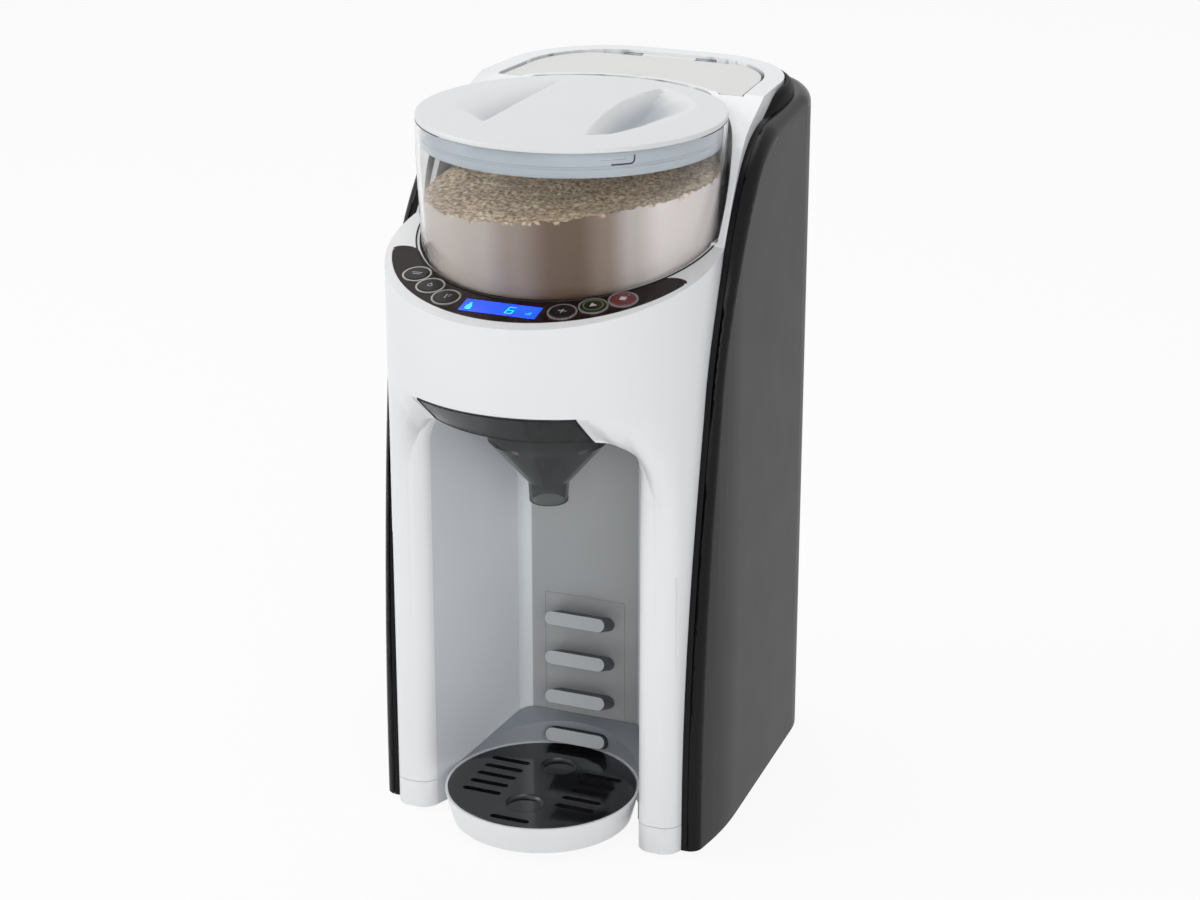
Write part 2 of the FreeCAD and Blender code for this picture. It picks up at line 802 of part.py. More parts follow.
def split_housing(shell):
    """The white housing is moulded in five: head, two pillars, rear frame and tank housing."""
    seam_y = behind(dim.bay_front)
    head_space = fuse("head_space", wide_box("head_front_space", WIDE, (behind(AHEAD), RAMP_FOOT_Y),
                                             (BELLY_BOTTOM, TOP + 10)),
                      wide_box("head_low_space", WIDE, (behind(AHEAD), seam_y),
                               (BELLY_BOTTOM, CHAMBER_TOP)))
    keep("main_housing", common("main_housing_form", shell, head_space))
    spaces = {
        "pillar_left": ((-WIDE, as_size(0)), behind(AHEAD), seam_y, 0.0, BELLY_BOTTOM),
        "pillar_right": ((0.0, as_size(WIDE)), behind(AHEAD), seam_y, 0.0, BELLY_BOTTOM),
        "rear_frame": ((-WIDE, as_size(WIDE)), seam_y, behind(BEYOND), 0.0, WELL_UNDERSIDE),
    }
    blocks = {}
    for node, (x, front, rear, low, high) in spaces.items():
        blocks[node] = box(f"{node}_space", x, (front, rear), (as_size(low), as_size(high)))
        keep(node, common(f"{node}_form", shell, blocks[node]))
    ahead = wide_box("tank_housing_ahead", WIDE, (behind(AHEAD), seam_y), (as_size(0), BELLY_BOTTOM))
    return keep("tank_housing", cut("tank_housing_form", shell, head_space, ahead,
                                    blocks["rear_frame"]))


def liner_form(name, wall):
    """The outside of the cavity's grey liner."""
    grown = niche(f"{name}_grown", wall, BELLY_BOTTOM + wall, dim.arch_rounding)
    return common(name, grown, wide_box(f"{name}_box", WIDE, (behind(dim.liner_front), behind(100)),
                                        (-30.0, TOP)))


def tank_space(name, gap, bottom, top):
    """The tank's plan: inside the rim, behind the container bay."""
    plan = housing_plan(f"{name}_plan", -(dim.tank_rim_width + gap), bottom, top)
    rear = common(f"{name}_rear", plan, wide_box(
        f"{name}_box", WIDE, (behind(dim.ramp_top) - 2 + gap, behind(BEYOND)), (bottom, top)))
    return cut(name, rear, cylinder(f"{name}_bay", BAY_OUTER + gap,
                                    (0.0, AXIS_Y, as_size(bottom) - 1), TALL))


NOZZLE_X = -18.0
NOZZLE_AT = (NOZZLE_X, behind(dim.funnel_axis), DRAWER_TOP)
SEAT_REACH = 112.0
SEAT_AT = (0.0, behind(SEAT_REACH), WELL_UNDERSIDE - 5)


def deck_bezel():
    """White ring on top of the front housing that carries the control panel."""
    rear = RAMP_FOOT_Y - dim.seam_gap
    seat = dim.bezel_thickness
    corners = [
        (behind(-110), deck_height_at(-110) - seat),
        (rear, deck_height_at(dim.ramp_foot) - dim.seam_gap * tangent(dim.deck_tilt) - seat),
        (rear, deck_height_at(dim.ramp_foot) - dim.seam_gap * tangent(dim.deck_tilt)),
        (behind(-110), deck_height_at(-110)),
    ]
    slab = common("bezel_slab", prism("bezel_prism", "YZ", corners, -FAR / 2, FAR / 2),
                  housing_plan("bezel_plan", 0.0, BAY_FLOOR, TOP))
    holes = [
        cylinder("bezel_bay", dim.bay_radius, (0.0, AXIS_Y, BAY_FLOOR), 100.0),
        panel_form("bezel_recess", 0.15, -dim.panel_thickness, 10.0),
        deck_box("bezel_window", display_span(0.5), display_depth_span(0.5), (as_size(-12), as_size(5))),
    ]
    for name, (x, along) in BUTTONS.items():
        radius = dim.button_radius + dim.button_gap + 0.3
        holes.append(deck_cylinder(f"bezel_hole_{name}", radius, x, along, -12.0, 5.0))
    return keep("deck_bezel", cut("bezel", slab, *holes))


def display_span(gap):
    half = dim.display_width / 2 + gap
    return -half, half


def display_depth_span(gap):
    half = dim.display_depth / 2 + gap
    return dim.display_centre - half, dim.display_centre + half


def panel_form(name, gap, low, high):
    """The crescent between two circles, with its two ends rounded."""
    gap = as_size(gap)
    outer = deck_cylinder(f"{name}_outer", dim.panel_radius + gap, 0.0, dim.panel_centre, low, high)
    inner = deck_cylinder(f"{name}_inner", dim.panel_inner_radius - gap, 0.0, 0.0,
                          as_size(low) - 1, as_size(high) + 1)
    front = deck_box(f"{name}_front", (as_size(-100), as_size(100)),
                     (as_size(-110), dim.panel_rear + gap), (as_size(low), as_size(high)))
    crescent = cut(f"{name}_crescent", common(f"{name}_lens", outer, front), inner)

    def is_tip(edge):
        point = middle(edge)
        tips = dim.panel_rear.value * math.cos(math.radians(SIZES["deck_tilt"]))
        straight = abs(point.y - AXIS_Y.value - tips) < 3.0
        return straight and edge.Length < 20 and abs(edge.tangentAt(edge.FirstParameter).z) > 0.9
    return round_edges(name, crescent, 2.0, is_tip)


def control_panel():
    form = panel_form("panel", 0.0, -dim.panel_thickness, 0.0)
    holes = [deck_box("panel_window", display_span(0.1), display_depth_span(0.1),
                      (as_size(-5), as_size(5)))]
    for name, (x, along) in BUTTONS.items():
        radius = dim.button_radius + dim.button_gap
        holes.append(deck_cylinder(f"panel_hole_{name}", radius, x, along, -5.0, 5.0))
    return keep("control_panel", cut("panel_plate", form, *holes))


def display_module():
    form = deck_box("display", display_span(0.0), display_depth_span(0.0),
                    (-BOARD_TOP_DROP, as_size(0)))
    return keep("display_module", form)


BOARD_TOP_DROP = dim.board_drop


def button_rings():
    """Bright rings that frame the six buttons on the panel's face."""
    rings = []
    for name, (x, along) in BUTTONS.items():
        inner = dim.button_radius + dim.button_gap
        outer = deck_cylinder(f"ring_disc_{name}", inner + dim.ring_width, x, along, 0.0, dim.ring_proud)
        hole = deck_cylinder(f"ring_hole_{name}", inner, x, along, -1.0, 2.0)
        rings.append(cut(f"ring_{name}", outer, hole))
    return keep("button_rings", group("rings", rings))


def buttons():
    """Six push buttons, each a domed cap over a round stem."""
    for name, (x, along) in BUTTONS.items():
        cap = deck_cylinder(f"cap_{name}", dim.button_radius, x, along,
                            dim.button_proud - dim.button_height / 2, dim.button_proud)
        domed = round_edges(f"domed_{name}", cap, 0.5, is_cap_rim(x, along))
        stem = deck_cylinder(f"stem_{name}", dim.switch_radius, x, along,
                             dim.button_proud - dim.button_height, 0.0)
        keep(f"button_{name}", fuse(f"button_{name}_form", domed, stem))


def is_cap_rim(x, along):
    """Chooses the circle on a cap's upper face."""
    face = FreeCAD.Vector(*(as_size(value).value for value in deck_point(x, along, dim.button_proud)))
    tilt = math.radians(SIZES["deck_tilt"])
    normal = FreeCAD.Vector(0, -math.sin(tilt), math.cos(tilt))
    return lambda edge: abs((middle(edge) - face).dot(normal)) < TINY


def control_board():
    """The board under the deck, with a dome switch under each button."""
    blank = common("board_blank", deck_box(
        "board_slab", (as_size(-100), as_size(100)), (as_size(-110), dim.panel_rear),
        (-BOARD_TOP_DROP - dim.board_thickness, -BOARD_TOP_DROP)),
        housing_plan("board_plan", -(WALL + 0.4), CHAMBER_FLOOR, TOP))
    board = cut("board", blank, cylinder("board_bay", dim.bay_radius + dim.bay_wall + 0.4,
                                         (0.0, AXIS_Y, CHAMBER_FLOOR), TALL))
    parts = [board]
    travel = dim.button_travel + 0.15
    for name, (x, along) in BUTTONS.items():
        parts.append(deck_cylinder(f"switch_{name}", dim.switch_radius, x, along, -BOARD_TOP_DROP,
                                   dim.button_proud - dim.button_height - travel))
    return keep("control_board", fuse("board_with_switches", *parts))


# --- Base and feet ----------------------------------------------------------------

FOOT_PLACES = {"left_front": (-66.0, -41.0), "right_front": (66.0, -41.0),
               "left_rear": (-55.0, 105.0), "right_rear": (55.0, 105.0)}


def foot_base():
    """White base: two pillar feet joined by a rear tray."""
    top = dim.base_height - dim.seam_gap
    block = common("base_block", housing_plan("base_plan", 0.0, dim.base_lift, top), wide_box(
        "base_box", WIDE, (behind(dim.pillar_front), behind(BEYOND)), (0.0, top)))
    open_front = cut("base_open", block, niche("base_niche", 0.0, 100.0))

    def is_nose(edge):
        return is_upright(edge) and abs(middle(edge).y - behind(dim.pillar_front).value) < TINY
    rounded = round_edges("base_rounded", open_front, dim.pillar_rounding, is_nose)
    hollow = common("base_hollow", housing_plan("base_inner", -(WALL + 3), 5.0, 50.0), wide_box(
        "base_hollow_box", WIDE, (behind(dim.bay_front) + 8, behind(BEYOND)), (5.0, 50.0)))
    pockets = [cylinder(f"foot_pocket_{name}", dim.foot_radius + 0.2, (x, behind(y), -1.0),
                        dim.foot_height + 1)
               for name, (x, y) in FOOT_PLACES.items()]
    return keep("foot_base", cut("base", rounded, liner_form("base_liner", dim.liner_wall), hollow, *pockets))


def rubber_feet():
    feet = [cylinder(f"foot_{name}", dim.foot_radius, (x, behind(y), 0.0), dim.foot_height)
            for name, (x, y) in FOOT_PLACES.items()]
    return keep("rubber_feet", group("feet", feet))


# --- Dark rear cover and its trim -----------------------------------------------------

def cover_blank(name, inset):
    """Plan of the cover, drawn in by inset and padded up, with its upright edges rounded."""
    body = new_body(name)
    inset = as_size(inset)
    sketch = body_sketch(body, "XY", dim.base_lift + inset)
    rear = behind(dim.rear_reach) - inset
    draw_polygon(sketch, [
        (inset - dim.cover_front_half, behind(dim.cover_front)),
        (dim.cover_front_half - inset, behind(dim.cover_front)),
        (dim.cover_wide_half - inset, behind(dim.cover_wide)),
        (dim.cover_rear_half - inset, rear),
        (inset - dim.cover_rear_half, rear),
        (inset - dim.cover_wide_half, behind(dim.cover_wide)),
    ])
    feature = pad(body, sketch, TOP)
    for size, y in ((dim.cover_corner_radius - inset, rear), (dim.cover_side_radius, behind(dim.cover_wide))):
        document.recompute()
        chosen = [f"Edge{i}" for i, edge in enumerate(feature.Shape.Edges, start=1)
                  if is_upright(edge) and abs(middle(edge).y - y.value) < TINY]
        rounding = body.newObject("PartDesign::Fillet", f"{name}_round_{len(body.Group)}")
        rounding.Base = (feature, chosen)
        bind(rounding, "Radius", size)
        feature = rounding
    return body


def rear_cover():
    shape = common("cover_form", cover_blank("cover_blank", 0.0), side_curve_block("cover_curve"))
    document.recompute()
    floor = dim.base_lift.value

    def is_curve_edge(edge):
        """Edges between the side curve and the outer wall."""
        point = middle(edge)
        inner = abs(point.x) < SIZES["cover_rear_half"] - SIZES["cover_corner_radius"] + 1
        at_rear = point.y > behind(dim.rear_reach).value - 1
        upright = is_upright(edge) and point.y > behind(dim.curve_foot).value + 5
        lies_across = abs(point.x) < 1 and not at_rear
        return point.z > floor + 1 and not upright and not lies_across and not (inner and not at_rear)
    edged = round_edges("cover_edged", shape, dim.cover_edge_radius, is_curve_edge)
    hollow = common("cover_hollow", common(
        "cover_hollow_plan", cover_blank("cover_core", dim.cover_wall), side_curve_block(
            "cover_core_curve", dim.cover_lip, dim.cover_lip)), wide_box(
                "cover_hollow_box", WIDE, (behind(-100), behind(dim.rear_reach) - dim.cover_lip),
                (-5.0, TOP)))
    inside = housing_plan("cover_inside", dim.trim_thickness + dim.seam_gap, -5.0, TOP + 50)
    holes = [
        cylinder("inlet_way", dim.inlet_radius + 0.2, (INLET_X, behind(120), dim.inlet_height), 60.0, "y"),
    ]
    for index in range(VENT_COUNT):
        low = VENT_BOTTOM + index * VENT_PITCH
        holes.append(wide_box(f"vent_{index}", VENT_HALF, (behind(120), behind(BEYOND)),
                              (as_size(low), as_size(low + VENT_WIDTH))))
    for name, (x, z) in SCREW_PLACES.items():
        holes.append(cylinder(f"screw_way_{name}", dim.screw_radius + 0.15,
                              (x, behind(120), as_size(z)), 60.0, "y"))
        holes.append(cylinder(f"head_way_{name}", dim.screw_head_radius + 0.2,
                              (x, behind(dim.rear_reach) - 2.0, as_size(z)), 10.0, "y"))
    shell = cut("cover", edged, inside, hollow, *holes)
    seam = dim.cover_rear_half - dim.cover_corner_radius
    for side, node in ((-1, "side_cover_left"), (1, "side_cover_right")):
        x = (seam, as_size(120)) if side > 0 else (as_size(-120), -seam)
        space = box(f"{node}_space", x, (behind(AHEAD), behind(BEYOND)), (as_size(-5), TOP))
        keep(node, common(f"{node}_form", shell, space))
    middle_space = wide_box("rear_cover_space", seam, (behind(AHEAD), behind(BEYOND)), (as_size(-5), TOP))
    return keep("rear_cover", common("rear_cover_form", shell, middle_space))


INLET_X = 0.0
VENT_COUNT = 6
VENT_BOTTOM = 60.0
VENT_PITCH = 9.0
VENT_WIDTH = 3.5
VENT_HALF = 28.0
SCREW_PLACES = {"low_left": (-28.0, 30.0), "low_right": (28.0, 30.0),
                "high_left": (-28.0, 165.0), "high_right": (28.0, 165.0)}


def edge_trim():
    """Black strip between the white housing and the dark cover."""
    sleeve = cut("trim_sleeve",
                 housing_plan("trim_outer", dim.trim_thickness, dim.base_lift, TOP),
                 housing_plan("trim_inner", 0.15, -5.0, TOP + 5))
    strip = common("trim_strip", sleeve, side_curve_block("trim_curve"))
    return keep("edge_trim", cut("trim", strip, side_curve_block(
        "trim_back", dim.trim_depth, dim.trim_depth * 0.6)))


def cover_screws():
    screws = []
    for name, (x, z) in SCREW_PLACES.items():
        head = cylinder(f"screw_head_{name}", dim.screw_head_radius,
                        (x, behind(dim.rear_reach) - 2.0, as_size(z)), 1.6, "y")
        shank = cylinder(f"screw_shank_{name}", dim.screw_radius,
                         (x, HOUSING_REAR - 6, as_size(z)),
                         behind(dim.rear_reach) - 2.0 - HOUSING_REAR + 6.5, "y")
        screws.append(fuse(f"screw_{name}", head, shank))
    return keep("cover_screws", group("screws", screws))


HOUSING_REAR = CORNER_CENTRE + dim.corner_radius


# --- Cavity liner, rung panel ------------------------------------------------------------

def cavity_liner():
    """Grey lining of the bottle cavity, open at the front and over the drawer."""
    trimmed = common("liner_trimmed", liner_form("liner_outer", dim.liner_wall - 0.15), wide_box(
        "liner_lift", WIDE, (behind(-100), behind(100)), (dim.base_lift, TOP)))
    air = niche("liner_air", 0.0, BELLY_BOTTOM, dim.arch_rounding)
    drawer = wide_box("liner_drawer", dim.drawer_half + dim.drawer_gap,
                      (behind(AHEAD), behind(dim.drawer_rear) + dim.drawer_gap),
                      (FUNNEL_RIM_HEIGHT, TOP))
    window = wide_box("liner_window", dim.rung_panel_half + 0.15,
                      (behind(dim.cavity_back) - 1, behind(dim.cavity_back) + 10),
                      (dim.rung_panel_bottom - 0.15, dim.rung_panel_top + 0.15))
    return keep("cavity_liner", cut("liner", trimmed, air, drawer, window))


def rung_form(name, height, grow, length, start):
    """A flattened peg that rises towards the front, about its point on the back wall."""
    half = dim.rung_half - dim.rung_thickness / 2
    radius = dim.rung_thickness / 2 + grow
    parts = []
    for side in (-1, 1):
        end = document.addObject("Part::Cylinder", f"{name}_end_{side + 1}")
        bind(end, "Radius", radius)
        bind(end, "Height", length - as_size(start))
        parts.append((end, side * half))
    core = document.addObject("Part::Box", f"{name}_core")
    bind(core, "Length", half * 2)
    bind(core, "Width", radius * 2)
    bind(core, "Height", length - as_size(start))
    parts.append((core, -half))
    angle = 90 - SIZES["rung_tilt"]
    turn = FreeCAD.Rotation(X_AXIS, angle)
    tilt = dim.rung_tilt
    for item, x in parts:
        across = radius if item is core else as_size(0)
        item.Placement = FreeCAD.Placement(FreeCAD.Vector(), turn)
        bind(item, "Placement.Rotation.Angle", 90 - tilt)
        y = behind(dim.cavity_back) - cosine(tilt) * start - sine(tilt) * across
        z = as_size(height) + sine(tilt) * start - cosine(tilt) * across
        put(item, x, y, z)
    return fuse(name, *[item for item, _ in parts])


RUNG_COUNT = 4


def rung_height(index):
    """Height at which a rung's axis leaves the back wall."""
    return dim.rung_first - dim.rung_length * sine(dim.rung_tilt) + index * dim.rung_pitch


def rung_panel():
    plate = wide_box("rung_plate", dim.rung_panel_half,
                     (behind(dim.cavity_back), behind(dim.cavity_back) + dim.rung_panel_thickness),
                     (dim.rung_panel_bottom, dim.rung_panel_top))
    rungs = [rung_form(f"rung_{index}", rung_height(index), 0.0, dim.rung_length, 0.0)
             for index in range(RUNG_COUNT)]
    trimmed = cut("rungs_trimmed", fuse("rungs", *rungs), wide_box(
        "rung_trim", 60.0, (behind(dim.cavity_back) + 1, behind(60)), (0.0, TALL)))
    return keep("rung_panel", fuse("rung_panel_form", plate, trimmed))


# --- Powder container and what turns in it ---------------------------------------------

FLOOR_UNDER = BAY_FLOOR + dim.container_floor_gap
FLOOR_TOP = FLOOR_UNDER + dim.container_wall
HUB_BOTTOM = FLOOR_TOP + dim.wheel_gap
DOSING_TOP = HUB_BOTTOM + dim.dosing_thickness


def container_radius_at(height):
    """Outer radius of the container's clear wall, which opens evenly upwards."""
    rise = (as_size(height) - CONTAINER_SEAT_HEIGHT) / (
        CONTAINER_TAPER_HEIGHT - CONTAINER_SEAT_HEIGHT)
    return dim.container_seat_radius + rise * (dim.container_top_radius - dim.container_seat_radius)


def powder_container():
    """Clear tub with a rounded foot, an outlet and a hole for the drive dog."""
    wall = dim.container_wall
    inner_floor = dim.container_floor_radius - wall / 2
    body = turned("container_tub", [
        (as_size(0), FLOOR_UNDER),
        (dim.container_floor_radius, FLOOR_UNDER),
        (dim.container_seat_radius - 3, FLOOR_UNDER + 7),
        (dim.container_seat_radius - 0.4, CONTAINER_SHOULDER),
        (dim.container_seat_radius, CONTAINER_SEAT_HEIGHT),
        (dim.container_top_radius, CONTAINER_TAPER_HEIGHT),
        (dim.container_top_radius, CONTAINER_TOP),
        (dim.container_top_radius - wall, CONTAINER_TOP),
        (dim.container_top_radius - wall, CONTAINER_TAPER_HEIGHT),
        (dim.container_seat_radius - wall, CONTAINER_SEAT_HEIGHT),
        (dim.container_seat_radius - wall - 0.4, CONTAINER_SHOULDER),
        (dim.container_seat_radius - wall - 2.6, FLOOR_UNDER + 8),
        (inner_floor, FLOOR_TOP),
        (as_size(0), FLOOR_TOP),
    ], 0.0, AXIS_Y)
    outlet = cylinder("container_outlet", dim.outlet_radius,
                      (0.0, behind(-dim.outlet_reach), FLOOR_UNDER - 1), 10.0)
    hub_hole = cylinder("container_hub_hole", dim.hub_radius - 2, (0.0, AXIS_Y, FLOOR_UNDER - 1), 10.0)
    tub = cut("container_open", body, outlet, hub_hole)
    rails = [lid_rail(f"lid_rail_{index}", index) for index in range(LUG_COUNT)]
    return keep("powder_container", fuse("container_with_rails", tub, *rails))


LUG_COUNT = 3
LUG_SPACING = 120.0
LUG_START = 40.0
LOCK_TURN = 28.0


def sector(name, inner, outer, width, degrees, bottom, top):
    """A short piece of ring about the container axis, pointing in one direction."""
    band = ring(f"{name}_band", inner, outer, (0.0, AXIS_Y, as_size(bottom)), top - as_size(bottom))
    item = document.addObject("Part::Box", f"{name}_span")
    item.Placement = FreeCAD.Placement(FreeCAD.Vector(), FreeCAD.Rotation(Z_AXIS, degrees))
    angle = as_size(degrees)
    bind(item, "Length", outer + 5)
    bind(item, "Width", width)
    bind(item, "Height", top - as_size(bottom))
    put(item, sine(angle) * width / 2, AXIS_Y - cosine(angle) * width / 2, bottom)
    return common(name, band, item)


def lid_rail(name, index):
    """Rail inside the container's mouth that the lid's lug turns under."""
    inner_wall = dim.container_top_radius - dim.container_wall
    bottom = LID_SKIRT_BOTTOM + 1 + dim.lug_height + 0.4
    return sector(name, dim.lid_skirt_radius + 0.3, inner_wall + 0.2, dim.lug_width,
                  LUG_START + LOCK_TURN + index * LUG_SPACING, bottom, bottom + 1.6)


def powder_fill():
    """Powder, standing clear of the paddle that sweeps beneath it."""
    gap = dim.powder_gap
    wall = dim.container_wall
    skirt_bottom = CONTAINER_SHOULDER + 2
    body = turned("powder", [
        (as_size(0), POWDER_BOTTOM),
        (dim.paddle_reach + 4, POWDER_BOTTOM),
        (dim.paddle_reach + 4, skirt_bottom),
        (dim.container_seat_radius - wall - gap - 0.4, skirt_bottom),
        (dim.container_seat_radius - wall - gap, CONTAINER_SEAT_HEIGHT),
        (container_radius_at(POWDER_CONTACT) - wall - gap, POWDER_CONTACT),
        (dim.powder_crown_radius, POWDER_CROWN),
        (as_size(0), POWDER_CROWN),
    ], 0.0, AXIS_Y)
    return keep("powder_fill", body)


def dog_socket(name, width):
    """Square hole or peg on the container axis."""
    return wide_box(name, width / 2, (AXIS_Y - width / 2, AXIS_Y + width / 2),
                    (CHAMBER_TOP, TOP))


def dosing_wheel():
    """Flat wheel whose pockets carry one measure each over the outlet."""
    body = new_body("dosing_wheel_body")
    sketch = body_sketch(body, "XY", HUB_BOTTOM)
    sketch.addGeometry(Part.Circle(FreeCAD.Vector(), Z_AXIS, SIZES["dosing_radius"]))
    sketch.addConstraint(Sketcher.Constraint("Coincident", 0, 3, -1, 1))
    radius = sketch.addConstraint(Sketcher.Constraint("Radius", 0, SIZES["dosing_radius"]))
    sketch.setExpression(f"Constraints[{radius}]", dim.dosing_radius.formula)
    pad(body, sketch, dim.dosing_thickness)
    document.recompute()
    pocket_sketch = body_sketch(body, "XY", HUB_BOTTOM)
    centre = FreeCAD.Vector(0, -SIZES["outlet_reach"], 0)
    pocket_sketch.addGeometry(Part.Circle(centre, Z_AXIS, SIZES["dosing_pocket_radius"]))
    pocket_sketch.addConstraint(Sketcher.Constraint("PointOnObject", 0, 3, -2))
    place = pocket_sketch.addConstraint(Sketcher.Constraint("DistanceY", -1, 1, 0, 3, centre.y))
    pocket_sketch.setExpression(f"Constraints[{place}]", (-dim.outlet_reach).formula)
    size = pocket_sketch.addConstraint(Sketcher.Constraint("Radius", 0, SIZES["dosing_pocket_radius"]))
    pocket_sketch.setExpression(f"Constraints[{size}]", dim.dosing_pocket_radius.formula)
    pocket = body.newObject("PartDesign::Pocket", "dosing_pocket")
    pocket.Profile = pocket_sketch
    pocket.Type = "ThroughAll"
    pocket.Midplane = True
    document.recompute()
    pattern = body.newObject("PartDesign::PolarPattern", "dosing_pockets")
    pattern.Originals = [pocket]
    pattern.Axis = (sketch, ["N_Axis"])
    pattern.Angle = 360
    bind(pattern, "Occurrences", dim.dosing_pockets)
    body.Tip = pattern
    put(body, 0.0, AXIS_Y, 0.0)
    return keep("dosing_wheel", cut("dosing_wheel_form", body, dog_socket("dosing_socket", SOCKET_WIDTH)))


SOCKET_WIDTH = dim.dog_width + 2 * dim.dog_gap


def mixing_paddle():
    """Hub with swept arms that keep the powder loose."""
    bottom = DOSING_TOP + 0.05
    hub = cylinder("paddle_hub", dim.hub_radius, (0.0, AXIS_Y, bottom),
                   POWDER_BOTTOM - 1 - bottom)
    arms = []
    count = int(SIZES["paddle_count"])
    for index in range(count):
        degrees = 45 + index * 360 / count
        angle = as_size(degrees)
        arm = document.addObject("Part::Wedge", f"paddle_arm_{index}")
        half = dim.paddle_width / 2
        bounds = {"Xmin": -half, "Xmax": half, "X2min": -half * 0.4, "X2max": half * 0.4,
                  "Ymin": dim.hub_radius - 2, "Ymax": dim.paddle_reach,
                  "Zmin": 0.0, "Zmax": dim.paddle_height, "Z2min": 0.0, "Z2max": dim.paddle_height * 0.6}
        for key, value in bounds.items():
            setattr(arm, key, as_size(value).value)
            bind(arm, key, value)
        arm.Placement = FreeCAD.Placement(FreeCAD.Vector(), FreeCAD.Rotation(Z_AXIS, degrees))
        bind(arm, "Placement.Rotation.Angle", angle)
        arms.append(put(arm, 0.0, AXIS_Y, bottom + 0.6))
    form = fuse("paddle_form", hub, *arms)
    socket = dog_socket("paddle_socket", SOCKET_WIDTH)
    lid_over_dog = cylinder("paddle_cap", dim.hub_radius - 1, (0.0, AXIS_Y, DOG_TOP + 0.5), 30.0)
    return keep("mixing_paddle", cut("paddle", form, cut("paddle_blind_socket", socket, lid_over_dog)))


DOG_TOP = DOSING_TOP + 6


# --- Lid ---------------------------------------------------------------------------------------

LID_UNDER = TOP - dim.lid_rim


def scoop(name, side, grow, lower):
    """One finger scoop: a sloping floor from the lid's edge down to a wall by the bar."""
    half_length = (dim.scoop_rear - dim.scoop_front) / 2
    bulge = dim.scoop_outer_radius - dim.scoop_bar_half
    radius = (half_length * half_length + bulge * bulge) / (2 * bulge)
    centre_x = dim.scoop_outer_radius - radius
    centre_y = behind((dim.scoop_rear + dim.scoop_front) / 2)
    grow, lower = as_size(grow), as_size(lower)
    disc = cylinder(f"{name}_disc", radius + grow, (side * centre_x, centre_y, TOP - 30), 60.0)
    inner = dim.scoop_bar_half - grow
    outer = dim.scoop_outer_radius + grow
    slope = [
        (side * inner, TOP - dim.scoop_depth - lower),
        (side * outer, TOP - lower),
        (side * outer, TOP + 1 - lower),
        (side * inner, TOP + 1 - lower),
    ]
    floor = prism(f"{name}_slope", "XZ", slope, AXIS_Y - 80, AXIS_Y + 80)
    return common(name, disc, floor)


def container_lid():
    """White lid: a disc with two finger scoops, a skirt and three lugs."""
    disc = cylinder("lid_disc", dim.lid_radius, (0.0, AXIS_Y, LID_UNDER), dim.lid_rim)
    edged = round_edges("lid_edged", disc, 0.8, lambda edge: middle(edge).z > TOP.value - TINY)
    skirt = ring("lid_skirt", dim.lid_skirt_radius - dim.lid_skirt_wall, dim.lid_skirt_radius,
                 (0.0, AXIS_Y, LID_SKIRT_BOTTOM), LID_UNDER - LID_SKIRT_BOTTOM)
    bottom = LID_SKIRT_BOTTOM + 1
    lugs = [sector(f"lid_lug_{index}", dim.lid_skirt_radius - 1, dim.lid_skirt_radius + dim.lug_depth,
                   dim.lug_width, LUG_START + index * LUG_SPACING, bottom, bottom + dim.lug_height)
            for index in range(LUG_COUNT)]
    cups = [common(f"scoop_cup_{side + 1}",
                   scoop(f"scoop_outer_{side + 1}", side, dim.lid_plate, dim.lid_plate),
                   cylinder(f"scoop_cap_{side + 1}", dim.lid_skirt_radius - 0.5,
                            (0.0, AXIS_Y, LID_UNDER - 30), 31.0))
            for side in (-1, 1)]
    solid = fuse("lid_solid", edged, skirt, *lugs, *cups)
    hollows = [scoop(f"scoop_{side + 1}", side, 0.0, 0.0) for side in (-1, 1)]
    return keep("container_lid", cut("lid", solid, *hollows))


def lid_seal():
    """Grey ring under the lid's skirt, which stays square to the mouth as the lid turns."""
    top = LID_SKIRT_BOTTOM - 0.2
    inner = dim.lid_skirt_radius - dim.lid_skirt_wall - dim.lid_gap
    low = ring("seal_low", inner - 2.0, dim.seal_radius, (0.0, AXIS_Y, SEAL_BOTTOM), top - SEAL_BOTTOM)
    lip = ring("seal_lip", inner - 2.0, inner, (0.0, AXIS_Y, top - 0.5), as_size(3.0))
    return keep("lid_seal", fuse("seal", low, lip))


# --- Water tank -----------------------------------------------------------------------------------

TANK_TOP = TOP - dim.tank_lid_drop - dim.tank_lid_thickness - 2.5
HINGE_Z = TOP - dim.tank_lid_drop - dim.hinge_radius + 0.6
TANK_REAR = HOUSING_REAR - dim.tank_rim_width - dim.tank_gap
HINGE_Y = TANK_REAR - dim.hinge_radius - 1.0


def knuckle(name, low, high, radius):
    return cylinder(name, radius, (low, HINGE_Y, HINGE_Z), high - as_size(low), "x")


def water_tank():
    """Clear tank behind the container, with a foot that plugs into the valve seat."""
    wall = dim.tank_wall
    outer = tank_space("tank_outer", dim.tank_gap, TANK_BOTTOM, TANK_TOP)
    inner = tank_space("tank_inner", dim.tank_gap + wall, TANK_BOTTOM + wall, TANK_TOP + 10)
    shell = cut("tank_shell", outer, inner,
                cylinder("tank_valve_hole", dim.valve_radius,
                         (0.0, behind(SEAT_REACH), TANK_BOTTOM - 5), 20.0))
    ears = []
    for side in (-1, 1):
        inner_end = side * dim.hinge_half
        outer_end = side * (dim.hinge_half - dim.hinge_knuckle)
        low, high = (inner_end, outer_end) if side < 0 else (outer_end, inner_end)
        bar = knuckle(f"tank_ear_{side + 1}", low, high, dim.hinge_radius)
        post = box(f"tank_post_{side + 1}", (low, high), (HINGE_Y - 1.5, TANK_REAR), (TANK_TOP - 8, HINGE_Z))
        ears.append(fuse(f"tank_hinge_{side + 1}", bar, post))
    whole = fuse("tank_whole", shell, *ears)
    bore = knuckle("tank_pin_bore", -dim.hinge_half - 1, dim.hinge_half + 1, dim.hinge_pin_radius)
    return keep("water_tank", cut("tank", whole, bore))


